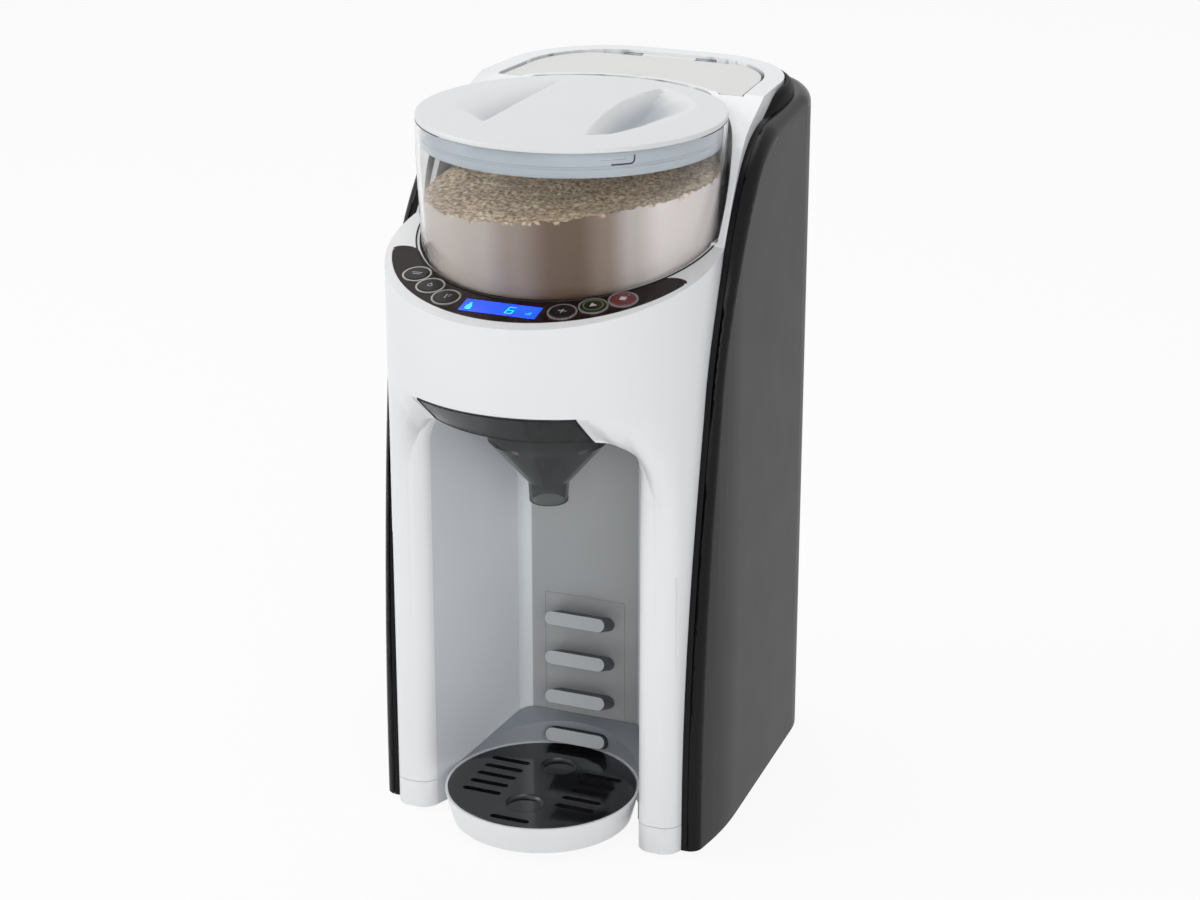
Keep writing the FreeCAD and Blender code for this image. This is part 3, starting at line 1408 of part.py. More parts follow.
def tank_lid():
    """Flat lid that lies just below the rim, hinged at its rear edge."""
    under = TOP - dim.tank_lid_drop - dim.tank_lid_thickness
    plate = tank_space("tank_lid_plate", dim.tank_lid_gap, under, TOP - dim.tank_lid_drop)
    ear_space = [box(f"tank_lid_notch_{side + 1}", span, (HINGE_Y - dim.hinge_radius - 0.8, behind(BEYOND)),
                     (TOP - 20, TOP + 5))
                 for side, span in (
                     (-1, (as_size(-120), -(dim.hinge_half - dim.hinge_knuckle) + 0.4)),
                     (1, (dim.hinge_half - dim.hinge_knuckle - 0.4, as_size(120))))]
    rear_edge = wide_box("tank_lid_rear_edge", WIDE, (HINGE_Y + dim.hinge_radius, behind(BEYOND)),
                         (TOP - 20, TOP + 5))
    nick = cylinder("tank_lid_nick", 5.0, (0.0, behind(BAY_OUTER), TOP - 1.5 - dim.tank_lid_drop), 10.0)
    cut_plate = cut("tank_lid_cut", plate, rear_edge, *ear_space, nick)
    barrel_half = dim.hinge_half - dim.hinge_knuckle - 0.4
    barrel = knuckle("tank_lid_barrel", -barrel_half, barrel_half, dim.hinge_radius)
    bore = knuckle("tank_lid_bore", -dim.hinge_half, dim.hinge_half, dim.hinge_pin_radius + dim.shaft_gap)
    return keep("tank_lid", cut("tank_lid_form", fuse("tank_lid_joined", cut_plate, barrel), bore))


def tank_lid_pin():
    return keep("tank_lid_pin", knuckle("lid_pin", -dim.hinge_half, dim.hinge_half, dim.hinge_pin_radius))


def tank_valve():
    """Plunger that a pin in the seat pushes open."""
    top = TANK_BOTTOM + dim.tank_wall + 0.1
    disc = cylinder("valve_disc", dim.valve_radius + 2, (0.0, behind(SEAT_REACH), top), 3.0)
    stem = cylinder("valve_stem", dim.valve_stem_radius,
                    (0.0, behind(SEAT_REACH), TANK_BOTTOM - 0.2), top + 1 - TANK_BOTTOM + 0.2)
    return keep("tank_valve", fuse("valve", disc, stem))


def tank_seat():
    """Cup in the well's floor that the tank's valve opens into."""
    x, y, z = SEAT_AT
    cup = fuse("seat_outer", cylinder("seat_cup", dim.seat_radius, (x, y, z), WELL_BOTTOM - z),
               cylinder("seat_flange", dim.seat_radius + 3, (x, y, WELL_UNDERSIDE - 2), 2.0))
    bore = cylinder("seat_bore", dim.valve_radius, (x, y, z + 3), 20.0)
    drain = cylinder("seat_drain", dim.tube_radius - 1.2, (x + 4.0, y, z - 1), 10.0)
    pin = cylinder("seat_pin", 1.5, (x, y, z + 2), WELL_BOTTOM - z - 2)
    return keep("tank_seat", fuse("seat", cut("seat_open", cup, bore, drain), pin))


# --- Funnel drawer -----------------------------------------------------------------------------------

FUNNEL_Y = behind(dim.funnel_axis)


def funnel_drawer():
    """Smoky front and floor that slide out with the funnel."""
    half = dim.drawer_half
    front = behind(AHEAD)
    rear = behind(dim.drawer_rear)
    block = common("drawer_block", belly_drum("drawer_drum", 0.0, TOP), wide_box(
        "drawer_box", half, (front, rear), (BELLY_BOTTOM, DRAWER_TOP)))
    hollow = common("drawer_hollow", belly_drum("drawer_inner_drum", dim.drawer_wall, TOP), wide_box(
        "drawer_inner_box", half - dim.drawer_wall, (front, rear - dim.drawer_wall),
        (BELLY_BOTTOM, TOP)))
    mouth = cylinder("drawer_mouth", dim.funnel_rim_radius - 1, (0.0, FUNNEL_Y, BELLY_BOTTOM - 5), 30.0)
    return keep("funnel_drawer", cut("drawer", block, hollow, mouth))


def funnel():
    """Cone and spout that hang from the drawer's floor."""
    wall = dim.funnel_wall
    rim, throat, spout = dim.funnel_rim_radius, dim.funnel_throat_radius, dim.spout_radius
    body = turned("funnel_cone", [
        (spout, SPOUT_BOTTOM),
        (throat, FUNNEL_THROAT_HEIGHT),
        (rim, FUNNEL_RIM_HEIGHT),
        (rim, BELLY_BOTTOM),
        (rim - wall, BELLY_BOTTOM),
        (rim - wall, FUNNEL_RIM_HEIGHT + wall * 0.6),
        (throat - wall, FUNNEL_THROAT_HEIGHT + wall * 0.6),
        (spout - wall, SPOUT_BOTTOM),
    ], 0.0, FUNNEL_Y)
    return keep("funnel", body)


# --- Drip tray ----------------------------------------------------------------------------------------

TRAY_Y = behind(dim.tray_centre)
GRID_UNDER = dim.grid_top - dim.grid_thickness


def drip_tray():
    """White bowl that catches drips under the grid."""
    rim = dim.tray_radius
    inner = rim - dim.tray_rim
    shelf = inner - 2.5
    body = turned("tray_bowl", [
        (as_size(0), dim.tray_bottom),
        (dim.tray_foot_radius, dim.tray_bottom),
        (rim, dim.grid_top - 1.0),
        (rim, dim.grid_top),
        (inner, dim.grid_top),
        (inner, GRID_UNDER - 0.1),
        (shelf, GRID_UNDER - 0.1),
        (dim.tray_foot_radius - dim.tray_wall - 1, dim.tray_bottom + dim.tray_wall),
        (as_size(0), dim.tray_bottom + dim.tray_wall),
    ], 0.0, TRAY_Y)
    return keep("drip_tray", body)


def tray_bracket():
    """Grey back of the tray, which fills the cavity's rear and hangs on a rung."""
    clear = niche("bracket_plan", -0.8, 100.0)
    front = behind(dim.tray_ramp_front)
    rear = behind(dim.cavity_back) - 0.8
    slope = [
        (front, dim.tray_bottom),
        (rear, dim.tray_bottom),
        (rear, dim.tray_back_top - 2),
        (front, dim.grid_top),
    ]
    ramp = prism("bracket_ramp", "YZ", slope, -60.0, 60.0)
    block = common("bracket_block", clear, ramp)
    bowl = cylinder("bracket_bowl", dim.tray_radius + 0.1, (0.0, TRAY_Y, 0.0), 100.0)
    slot = rung_form("bracket_slot", rung_height(0), dim.tray_slot_gap, 40.0, -5.0)
    return keep("tray_bracket", cut("bracket", block, bowl, slot))


def tray_grid():
    """Black plate with two round dimples and rows of drain slots."""
    radius = dim.tray_radius - dim.tray_rim - dim.grid_gap
    plate = cylinder("grid_plate", radius, (0.0, TRAY_Y, GRID_UNDER), dim.grid_thickness)
    edged = round_edges("grid_edged", plate, 0.6,
                        lambda edge: middle(edge).z > SIZES["grid_top"] - TINY)
    holes = []
    for index, side in enumerate((-1, 1)):
        dish_at = (0.0, TRAY_Y + side * dim.dimple_spacing / 2, GRID_UNDER + 0.8)
        holes.append(cylinder(f"dimple_{index}", dim.dimple_radius, dish_at, 10.0))
    for name, (x, reach) in slot_places().items():
        holes.append(slot(f"slot_{name}", x, reach))
    return keep("tray_grid", cut("grid", edged, *holes))


SLOT_ROWS = (-2, -1, 0, 1, 2)
SLOT_NEAR = 25.4
SLOT_REACH = 40.6
SLOT_LENGTH = 21.0


def slot_places():
    """Two columns of five slots, and one slot each before and behind the dimples."""
    places = {"front": (0.0, -SLOT_REACH), "rear": (0.0, SLOT_REACH)}
    for row in SLOT_ROWS:
        reach = row * dim.slot_pitch
        places[f"left_{row + 2}"] = (-SLOT_NEAR, reach)
        places[f"right_{row + 2}"] = (SLOT_NEAR, reach)
    return places


def slot(name, x, reach):
    """A round-ended slot along X through the grid."""
    half = SLOT_LENGTH / 2 - dim.slot_width / 2
    y = TRAY_Y + reach
    ends = [cylinder(f"{name}_end_{side + 1}", dim.slot_width / 2, (x + side * half, y, GRID_UNDER - 1), 10.0)
            for side in (-1, 1)]
    middle_part = box(f"{name}_middle", (x - half, x + half),
                      (y - dim.slot_width / 2, y + dim.slot_width / 2), (GRID_UNDER - 1, GRID_UNDER + 9))
    return fuse(name, *ends, middle_part)


# --- Drive -----------------------------------------------------------------------------------------------

PLATE_TOP = GEAR_BOTTOM - dim.gear_play
PLATE_UNDER = PLATE_TOP - dim.gear_plate_thickness
MOTOR_Y = AXIS_Y + dim.gear_radius + dim.pinion_radius


def toothed_wheel(name, radius, teeth, x, y, turn):
    """A spur gear: a disc at root radius and a ring of straight-flanked teeth."""
    depth = dim.tooth_depth
    root_radius = radius - depth * 0.6
    pitch_half = radius * Size(math.pi / 2 / teeth, repr(math.pi / 2 / teeth)) - dim.gear_play / 4
    wheel = cylinder(f"{name}_disc", root_radius, (x, y, GEAR_BOTTOM), dim.gear_thickness)
    parts = [wheel]
    tip = radius + depth * 0.4
    for index in range(teeth):
        degrees = turn + index * 360 / teeth
        tooth = document.addObject("Part::Wedge", f"{name}_tooth_{index}")
        bounds = {"Xmin": -pitch_half * 1.35, "Xmax": pitch_half * 1.35,
                  "X2min": -pitch_half * 0.62, "X2max": pitch_half * 0.62,
                  "Ymin": root_radius - 1, "Ymax": tip,
                  "Zmin": 0.0, "Zmax": dim.gear_thickness, "Z2min": 0.0, "Z2max": dim.gear_thickness}
        for key, value in bounds.items():
            setattr(tooth, key, as_size(value).value)
            bind(tooth, key, value)
        tooth.Placement = FreeCAD.Placement(FreeCAD.Vector(), FreeCAD.Rotation(Z_AXIS, degrees))
        put(tooth, x, y, GEAR_BOTTOM)
        parts.append(tooth)
    return fuse(name, *parts)


def drive_gear():
    """Gear on the container axis, with the square dog that drives the paddle."""
    teeth = int(SIZES["gear_teeth"])
    wheel = toothed_wheel("gear_wheel", dim.gear_radius, teeth, 0.0, AXIS_Y, 0.0)
    low = PLATE_UNDER - 2
    shaft = cylinder("gear_shaft", dim.shaft_radius, (0.0, AXIS_Y, low), BAY_FLOOR + 1 - low)
    half = dim.dog_width / 2
    dog = wide_box("gear_dog", half, (AXIS_Y - half, AXIS_Y + half), (BAY_FLOOR + 0.3, DOG_TOP))
    return keep("drive_gear", fuse("gear", wheel, shaft, dog))


def motor_pinion():
    teeth = int(SIZES["pinion_teeth"])
    wheel = toothed_wheel("pinion_wheel", dim.pinion_radius, teeth, 0.0, MOTOR_Y, 180.0 + 180.0 / teeth)
    low = PLATE_UNDER - 8
    shaft = cylinder("pinion_shaft", dim.shaft_radius - 1, (0.0, MOTOR_Y, low), GEAR_BOTTOM + 1 - low)
    return keep("motor_pinion", fuse("pinion", wheel, shaft))


def gear_plate():
    """Bearing plate that hangs under the container bay on four posts."""
    plate = wide_box("plate", 20.0, (AXIS_Y - 18, MOTOR_Y + 18), (PLATE_UNDER, PLATE_TOP))
    posts = []
    for index, (x, y) in enumerate(((-17, AXIS_Y - 15), (17, AXIS_Y - 15), (-17, MOTOR_Y + 15),
                                    (17, MOTOR_Y + 15))):
        posts.append(cylinder(f"plate_post_{index}", 2.6, (x, y, PLATE_UNDER), CHAMBER_TOP - PLATE_UNDER))
    bores = [
        cylinder("gear_bore", dim.shaft_radius + dim.shaft_gap, (0.0, AXIS_Y, PLATE_UNDER - 5), 20.0),
        cylinder("pinion_bore", dim.shaft_radius - 1 + dim.shaft_gap, (0.0, MOTOR_Y, PLATE_UNDER - 5), 20.0),
    ]
    return keep("gear_plate", cut("plate_form", fuse("plate_with_posts", plate, *posts), *bores))


def drive_motor():
    low = PLATE_UNDER - dim.motor_length
    can = cylinder("motor_can", dim.motor_radius, (0.0, MOTOR_Y, low), dim.motor_length)
    edged = round_edges("motor_edged", can, 1.5, lambda edge: middle(edge).z < low.value + TINY)
    bore = cylinder("motor_bore", dim.shaft_radius - 1 + dim.shaft_gap, (0.0, MOTOR_Y, low + 6), 40.0)
    return keep("drive_motor", cut("motor", edged, bore))


def powder_chute():
    """Short tube from the container's outlet down to the funnel."""
    low = DRAWER_TOP + dim.drawer_gap
    at = (0.0, behind(-dim.outlet_reach))
    wall = cylinder("chute_wall", dim.outlet_radius + 1.5, (*at, low), BAY_FLOOR - low)
    flange = cylinder("chute_flange", dim.outlet_radius + 4, (*at, CHAMBER_FLOOR), 1.5)
    bore = cylinder("chute_bore", dim.outlet_radius, (*at, low - 1), 40.0)
    return keep("powder_chute", cut("chute", fuse("chute_solid", wall, flange), bore))


# --- Water system and electrics in the rear bay ----------------------------------

CHASSIS_REAR = behind(dim.bay_front) + 6
HEATER_AT = (-35.0, CHASSIS_REAR + dim.heater_radius + 8)
PUMP_AT = (35.0, CHASSIS_REAR + dim.pump_radius + 8)
HEATER_BOTTOM = 60.0
PUMP_BOTTOM = 36.0


def inner_chassis():
    """Upright plate behind the cavity, with saddles for the heater, pump and board."""
    plate = wide_box("chassis_plate", 62.0, (CHASSIS_REAR - 3, CHASSIS_REAR),
                     (dim.base_height, BAY_FLOOR - 57))
    foot = wide_box("chassis_foot", 62.0, (CHASSIS_REAR - 3, CHASSIS_REAR + 8),
                    (dim.base_height, dim.base_height + 3))
    parts = [plate, foot]
    for name, (x, y), radius, heights in (
            ("heater", HEATER_AT, dim.heater_radius, (75.0, 120.0)),
            ("pump", PUMP_AT, dim.pump_radius, (44.0, 70.0))):
        for index, z in enumerate(heights):
            block = box(f"{name}_saddle_{index}", (x - 9, as_size(x + 9)), (CHASSIS_REAR - 1, y),
                        (as_size(z), as_size(z + 6)))
            parts.append(cut(f"{name}_saddle_cut_{index}", block, cylinder(
                f"{name}_saddle_bore_{index}", radius + 0.1, (x, y, as_size(z - 2)), 12.0)))
    for index, (x, z) in enumerate(((-11, 45), (11, 45), (-11, 105), (11, 105))):
        parts.append(cylinder(f"board_post_{index}", 2.2, (x, CHASSIS_REAR - 1, as_size(z)), 6.0, "y"))
    return keep("inner_chassis", fuse("chassis", *parts))


def power_board():
    """Power board on four posts between the heater and the pump."""
    front = CHASSIS_REAR + 5
    board = wide_box("power_plate", 14.0, (front, front + dim.board_thickness), (as_size(38), as_size(112)))
    back = front + dim.board_thickness
    parts = [board]
    for index, (x, z, width, height, depth) in enumerate((
            (-7, 50, 10, 14, 9), (6, 52, 8, 10, 12), (-4, 74, 16, 8, 7), (5, 92, 9, 12, 10))):
        parts.append(box(f"board_part_{index}", (as_size(x - width / 2), as_size(x + width / 2)),
                         (back - 0.2, back + depth), (as_size(z), as_size(z + height))))
    return keep("power_board", fuse("power", *parts))


def heater():
    x, y = HEATER_AT
    can = cylinder("heater_can", dim.heater_radius, (x, y, HEATER_BOTTOM), dim.heater_length)
    nipples = [tube_piece("heater_in", (x, y, HEATER_BOTTOM - 6), 7.0),
               tube_piece("heater_out", (x, y, HEATER_BOTTOM + dim.heater_length - 1), 7.0)]
    return keep("water_heater", fuse("heater", can, *nipples))


def tube_piece(name, at, length):
    return cylinder(name, dim.tube_radius - 1.2, at, length)


def water_pump():
    x, y = PUMP_AT
    can = cylinder("pump_can", dim.pump_radius, (x, y, PUMP_BOTTOM), dim.pump_length)
    neck = tube_piece("pump_in", (x, y, PUMP_BOTTOM + dim.pump_length - 1), 7.0)
    side = cylinder("pump_out", dim.tube_radius - 1.2,
                    (x - dim.pump_radius - 6, y, PUMP_BOTTOM + 8), 8.0, "x")
    return keep("water_pump", fuse("pump", can, neck, side))


def tube_run(name, points):
    """A hose along square runs, with a ball at each corner and a bore right through."""
    outer = run_solid(f"{name}_outer", points, dim.tube_radius)
    inner = run_solid(f"{name}_bore", points, dim.tube_radius - 1.2)
    return cut(name, outer, inner)


def run_solid(name, points, radius):
    parts = []
    for index, (start, end) in enumerate(zip(points, points[1:])):
        start = [as_size(value) for value in start]
        end = [as_size(value) for value in end]
        lengths = [b.value - a.value for a, b in zip(start, end)]
        axis = max(range(3), key=lambda k: abs(lengths[k]))
        low = start if lengths[axis] > 0 else end
        high = end if lengths[axis] > 0 else start
        parts.append(cylinder(f"{name}_{index}", radius, low, high[axis] - low[axis], "xyz"[axis]))
    for index, point in enumerate(points[1:-1]):
        ball = document.addObject("Part::Sphere", f"{name}_corner_{index}")
        bind(ball, "Radius", radius)
        parts.append(put(ball, *point))
    return fuse(name, *parts)


def hoses():
    """Cold hose from tank to pump, middle hose to the heater, hot hose to the nozzle."""
    seat_x, seat_y, seat_z = SEAT_AT
    hose_x = seat_x + 4.0
    pump_x, pump_y = PUMP_AT
    heater_x, heater_y = HEATER_AT
    level = 130.0
    keep("cold_hose", tube_run("cold", [
        (hose_x, seat_y, seat_z), (hose_x, seat_y, level), (pump_x, seat_y, level),
        (pump_x, pump_y, level), (pump_x, pump_y, PUMP_BOTTOM + dim.pump_length + 0.1)]))
    pump_side = pump_x - dim.pump_radius - 0.1
    keep("middle_hose", tube_run("middle", [
        (pump_side, pump_y, PUMP_BOTTOM + 8), (heater_x, pump_y, PUMP_BOTTOM + 8),
        (heater_x, heater_y, PUMP_BOTTOM + 8),
        (heater_x, heater_y, HEATER_BOTTOM - 0.1)]))
    high = BAY_FLOOR - 12
    hot_end = DRAWER_TOP + dim.drawer_gap + 5
    keep("hot_hose", tube_run("hot", [
        (heater_x, heater_y, HEATER_BOTTOM + dim.heater_length + 0.1), (heater_x, heater_y, high),
        (heater_x, FUNNEL_Y, high), (NOZZLE_X, FUNNEL_Y, high), (NOZZLE_X, FUNNEL_Y, hot_end)]))


def water_nozzle():
    """Nozzle in the ceiling over the funnel, which the hot hose slips over."""
    low = DRAWER_TOP + dim.drawer_gap
    tip = cylinder("nozzle_tip", dim.tube_radius, (NOZZLE_X, FUNNEL_Y, low), 4.9)
    flange = cylinder("nozzle_flange", dim.tube_radius + 2.5, (NOZZLE_X, FUNNEL_Y, CHAMBER_FLOOR), 1.5)
    bore = cylinder("nozzle_bore", 1.2, (NOZZLE_X, FUNNEL_Y, low - 1), 20.0)
    return keep("water_nozzle", cut("nozzle", fuse("nozzle_solid", tip, flange), bore))


def mains_inlet():
    """Round gland in the rear cover through which the mains lead enters."""
    front = HOUSING_REAR - 8
    length = behind(dim.rear_reach) - front
    gland = cylinder("gland", dim.inlet_radius, (INLET_X, front, dim.inlet_height), length, "y")
    flange = cylinder("gland_flange", dim.inlet_radius + 2.5, (INLET_X, HOUSING_REAR, dim.inlet_height),
                      dim.trim_thickness + dim.seam_gap, "y")
    bore = cylinder("gland_bore", 3.4, (INLET_X, front - 1, dim.inlet_height), 40.0, "y")
    return keep("mains_inlet", cut("gland_form", fuse("gland_solid", gland, flange), bore))


# --- Make, check and write every sub-part ---------------------------------------------------

MAKERS = [
    main_housing, deck_bezel, control_panel, display_module, button_rings, buttons, control_board,
    foot_base, rubber_feet, rear_cover, edge_trim, cover_screws, cavity_liner, rung_panel,
    powder_container, powder_fill, dosing_wheel, mixing_paddle, container_lid, lid_seal,
    water_tank, tank_lid, tank_lid_pin, tank_valve, tank_seat, funnel_drawer, funnel,
    drip_tray, tray_bracket, tray_grid, drive_gear, motor_pinion, gear_plate, drive_motor,
    powder_chute, inner_chassis, power_board, heater, water_pump, hoses, water_nozzle, mains_inlet,
]
for make in MAKERS:
    make()
document.recompute()

for item in document.Objects:
    if "Invalid" in item.State or "Error" in item.State:
        raise RuntimeError(f"{item.Name} did not rebuild: {item.State}")

os.makedirs("parts", exist_ok=True)
for node, item in NODES.items():
    shape = item.Shape
    if shape.isNull() or not shape.isValid():
        raise RuntimeError(f"{node} has no valid shape")
    shape.exportStep(os.path.join("parts", f"{node}.step"))
    print(f"{node}: {len(shape.Solids)} solid(s), {shape.Volume / 1000:.1f} cm3")
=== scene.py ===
# %% [markdown]
# # Baby formula maker
# A countertop machine that doses milk powder and warm water into a bottle. This script
# gives them their finishes, softens the moulded edges, and adds what the solids leave
# plain: the lit display, the lid's finger scoops, the loose powder. All is in metres, in
# the CAD model's own frame, so that looks and solids stay in register.

# %% Load the frame
import bpy
import json
import math
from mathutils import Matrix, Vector, noise


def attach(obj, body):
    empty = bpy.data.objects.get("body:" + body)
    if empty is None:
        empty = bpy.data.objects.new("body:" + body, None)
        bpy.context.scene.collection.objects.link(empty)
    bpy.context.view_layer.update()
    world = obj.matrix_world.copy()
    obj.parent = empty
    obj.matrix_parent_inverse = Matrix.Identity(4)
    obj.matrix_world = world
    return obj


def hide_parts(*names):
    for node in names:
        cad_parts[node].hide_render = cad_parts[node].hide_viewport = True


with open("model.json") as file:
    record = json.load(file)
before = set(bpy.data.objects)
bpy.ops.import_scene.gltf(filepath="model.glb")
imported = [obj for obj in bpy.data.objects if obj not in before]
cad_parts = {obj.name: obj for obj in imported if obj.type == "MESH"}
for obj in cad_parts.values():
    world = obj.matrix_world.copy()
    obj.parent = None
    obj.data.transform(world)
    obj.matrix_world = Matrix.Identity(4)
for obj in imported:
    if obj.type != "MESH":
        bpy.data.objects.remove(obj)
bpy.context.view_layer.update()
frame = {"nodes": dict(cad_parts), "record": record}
nodes = frame["nodes"]
MM = 0.001

# %% [markdown]
# ## Camera
# The machine is seen from a little above, in front and to its right. A short lens close by
# would make its upright edges lean together. A long lens from further off keeps them nearly
# parallel, as in a catalogue picture. The camera is turned by the direction it looks in,
# which is easier to read than three angles.

# %% Camera
CAMERA_PLACE = Vector((0.5237, -1.2487, 0.6814))
CAMERA_LOOK = Vector((-0.35974, 0.86562, -0.34826))
camera_data = bpy.data.cameras.new("camera")
camera_data.lens = 85.41
camera_data.sensor_width = 36.0
camera_data.clip_start = 0.05
camera_data.clip_end = 60
camera = bpy.data.objects.new("camera", camera_data)
bpy.context.collection.objects.link(camera)
camera.location = CAMERA_PLACE
camera.rotation_euler = CAMERA_LOOK.to_track_quat("-Z", "Y").to_euler()
bpy.context.scene.camera = camera
print("camera", [round(v, 3) for v in camera.location])


# %% [markdown]
# ## Selections
# Blender's operators act on whatever is selected, and all CAD pieces are selected after
# loading. Three helpers keep that in hand: one clears the selection, one picks a single
# piece, and one moves a piece's place into its mesh, so that its object stays at the
# origin, as those of the CAD pieces do.

# %% Helpers for selections
def deselect():
    """Nothing is selected, so the next operator acts only on what is made next."""
    if bpy.context.mode != "OBJECT":
        bpy.ops.object.mode_set(mode="OBJECT")
    bpy.ops.object.select_all(action="DESELECT")
    bpy.context.view_layer.objects.active = None


def pick(piece):
    """Only this piece is selected and active."""
    deselect()
    piece.select_set(True)
    bpy.context.view_layer.objects.active = piece


def settle(piece, name):
    """Names the piece and moves its place into its mesh."""
    pick(piece)
    bpy.ops.object.transform_apply(location=True, rotation=True, scale=True)
    piece.name = name
    piece.data.name = name
    return piece


deselect()
print("selected", len(bpy.context.selected_objects))

# %% [markdown]
# ## Floor and lamps
# The machine stands on plain white paper. Glossy plastic shows what is around it: small
# lamps would leave hard white spots on it, and a bare world would leave it flat. Three big
# soft lamps give broad highlights instead. One shapes the belly from the left, one opens
# the cavity from the front, and one lights the lid from above.

# %% Floor
FLOOR_SIDE = 14.0
FLOOR_LEVEL = -0.0004
bpy.ops.mesh.primitive_plane_add(size=FLOOR_SIDE, location=(0, 0, FLOOR_LEVEL))
floor = settle(bpy.context.object, "floor")
print("floor", FLOOR_SIDE, "m across")


# %% Lamps
MIDDLE = (0.0, 0.0, 0.20)


def lamp(name, place, size, power):
    """A soft lamp that points at the machine's middle."""
    data = bpy.data.lights.new(name, "AREA")
    data.shape = "RECTANGLE"
    data.size, data.size_y = size
    data.energy = power
    item = bpy.data.objects.new(name, data)
    bpy.context.collection.objects.link(item)
    item.location = place
    item.rotation_euler = (Vector(MIDDLE) - Vector(place)).to_track_quat("-Z", "Y").to_euler()
    return item


lamps = [
    lamp("key_left", (-2.0, -0.8, 1.2), (1.2, 1.6), 20),
    lamp("front_soft", (1.1, -1.9, 0.7), (1.8, 1.6), 23),
    lamp("top_soft", (-0.4, 0.5, 2.0), (1.6, 1.6), 15),
]
print("lamps", [item.name for item in lamps])


# %% [markdown]
# ## Surround
# The world is a light too. If it lit the machine as brightly as a white background looks,
# pale plastic would lose its shading. The Light Path node tells the rays apart: straight to
# the camera, in gloss and through clear plastic the world is white, and for all other rays
# it is a soft grey. The floor does the same but keeps a share of its paper, so that the
# machine's shadow still falls on it.

# %% World
def white_rays(tree):
    """1 for the rays that show the surround itself: to the camera, in gloss, through plastic."""
    rays = tree.nodes.new("ShaderNodeLightPath")
    total = rays.outputs["Is Camera Ray"]
    for kind in ("Is Glossy Ray", "Is Transmission Ray"):
        either = tree.nodes.new("ShaderNodeMath")
        either.operation = "MAXIMUM"
        tree.links.new(total, either.inputs[0])
        tree.links.new(rays.outputs[kind], either.inputs[1])
        total = either.outputs[0]
    return total


def background(tree, colour, strength):
    """A world colour with its strength."""
    item = tree.nodes.new("ShaderNodeBackground")
    item.inputs["Color"].default_value = (*colour, 1)
    item.inputs["Strength"].default_value = strength
    return item.outputs[0]


def world_light():
    """Soft grey light for the machine, plain white where the surround itself is seen."""
    world = bpy.data.worlds.new("surround")
    bpy.context.scene.world = world
    world.use_nodes = True
    tree = world.node_tree
    tree.nodes.clear()
    out = tree.nodes.new("ShaderNodeOutputWorld")
    mix = tree.nodes.new("ShaderNodeMixShader")
    tree.links.new(white_rays(tree), mix.inputs[0])
    tree.links.new(background(tree, (0.97, 0.985, 1.0), 0.40), mix.inputs[1])
    tree.links.new(background(tree, (1, 1, 1), 1.0), mix.inputs[2])
    tree.links.new(mix.outputs[0], out.inputs["Surface"])
    return world


print("world", world_light().name)


# %% Floor finish
PLAIN_WHITE_SHARE = 0.91


def floor_finish():
    """White straight to the camera, with a share of paper that takes the shadow."""
    material = bpy.data.materials.new("floor_paper")
    material.use_nodes = True
    tree = material.node_tree
    tree.nodes.clear()
    out = tree.nodes.new("ShaderNodeOutputMaterial")
    paper = tree.nodes.new("ShaderNodeBsdfDiffuse")
    paper.inputs["Color"].default_value = (0.86, 0.86, 0.86, 1)
    glow = tree.nodes.new("ShaderNodeEmission")
    glow.inputs["Color"].default_value = (1, 1, 1, 1)
    share = tree.nodes.new("ShaderNodeMath")
    share.operation = "MULTIPLY"
    share.inputs[1].default_value = PLAIN_WHITE_SHARE
    mix = tree.nodes.new("ShaderNodeMixShader")
    tree.links.new(white_rays(tree), share.inputs[0])
    tree.links.new(share.outputs[0], mix.inputs[0])
    tree.links.new(paper.outputs[0], mix.inputs[1])
    tree.links.new(glow.outputs[0], mix.inputs[2])
    tree.links.new(mix.outputs[0], out.inputs["Surface"])
    return material


floor.data.materials.append(floor_finish())
bpy.context.scene.view_settings.view_transform = "Standard"
print("floor finish", floor.data.materials[0].name)


# %% [markdown]
# ## Finishes
# Moulded plastic is never one flat colour. Its gloss varies a little where the mould was
# worn, and its skin ripples faintly. An image could hold that, but it would need to be
# wrapped round every piece. Noise in Object coordinates needs no wrapping and stays with
# the piece when it moves. Small helpers make the usual nodes, one function makes a plastic
# from them, and each finish then only states what is special about it.

# %% An empty material and its noise
def noise_node(tree, scale, detail, coords):
    """Noise that stays with the piece, because it reads Object coordinates."""
    item = tree.nodes.new("ShaderNodeTexNoise")
    item.inputs["Scale"].default_value = scale
    item.inputs["Detail"].default_value = detail
    tree.links.new(coords, item.inputs["Vector"])
    return item


def shader_of(material):
    """The material's main shader."""
    return next(n for n in material.node_tree.nodes if n.type == "BSDF_PRINCIPLED")


def blank(name):
    """An empty material with its shader and Object coordinates."""
    material = bpy.data.materials.new(name)
    material.use_nodes = True
    tree = material.node_tree
    coords = tree.nodes.new("ShaderNodeTexCoord").outputs["Object"]
    return material, tree, shader_of(material), coords


print("materials so far", len(bpy.data.materials))


# %% Helpers that use the noise
def ranged(tree, source, low, high):
    """Turns noise, which stays near its middle, into the whole range from low to high."""
    item = tree.nodes.new("ShaderNodeMapRange")
    item.inputs["From Min"].default_value = 0.3
    item.inputs["From Max"].default_value = 0.7
    item.inputs["To Min"].default_value = low
    item.inputs["To Max"].default_value = high
    tree.links.new(source, item.inputs["Value"])
    return item.outputs[0]


def mixed(tree, share, one, other):
    """Two colours mixed by a share that varies over the surface."""
    item = tree.nodes.new("ShaderNodeMix")
    item.data_type = "RGBA"
    item.inputs["A"].default_value = (*one, 1)
    item.inputs["B"].default_value = (*other, 1)
    tree.links.new(share, item.inputs["Factor"])
    return item.outputs["Result"]


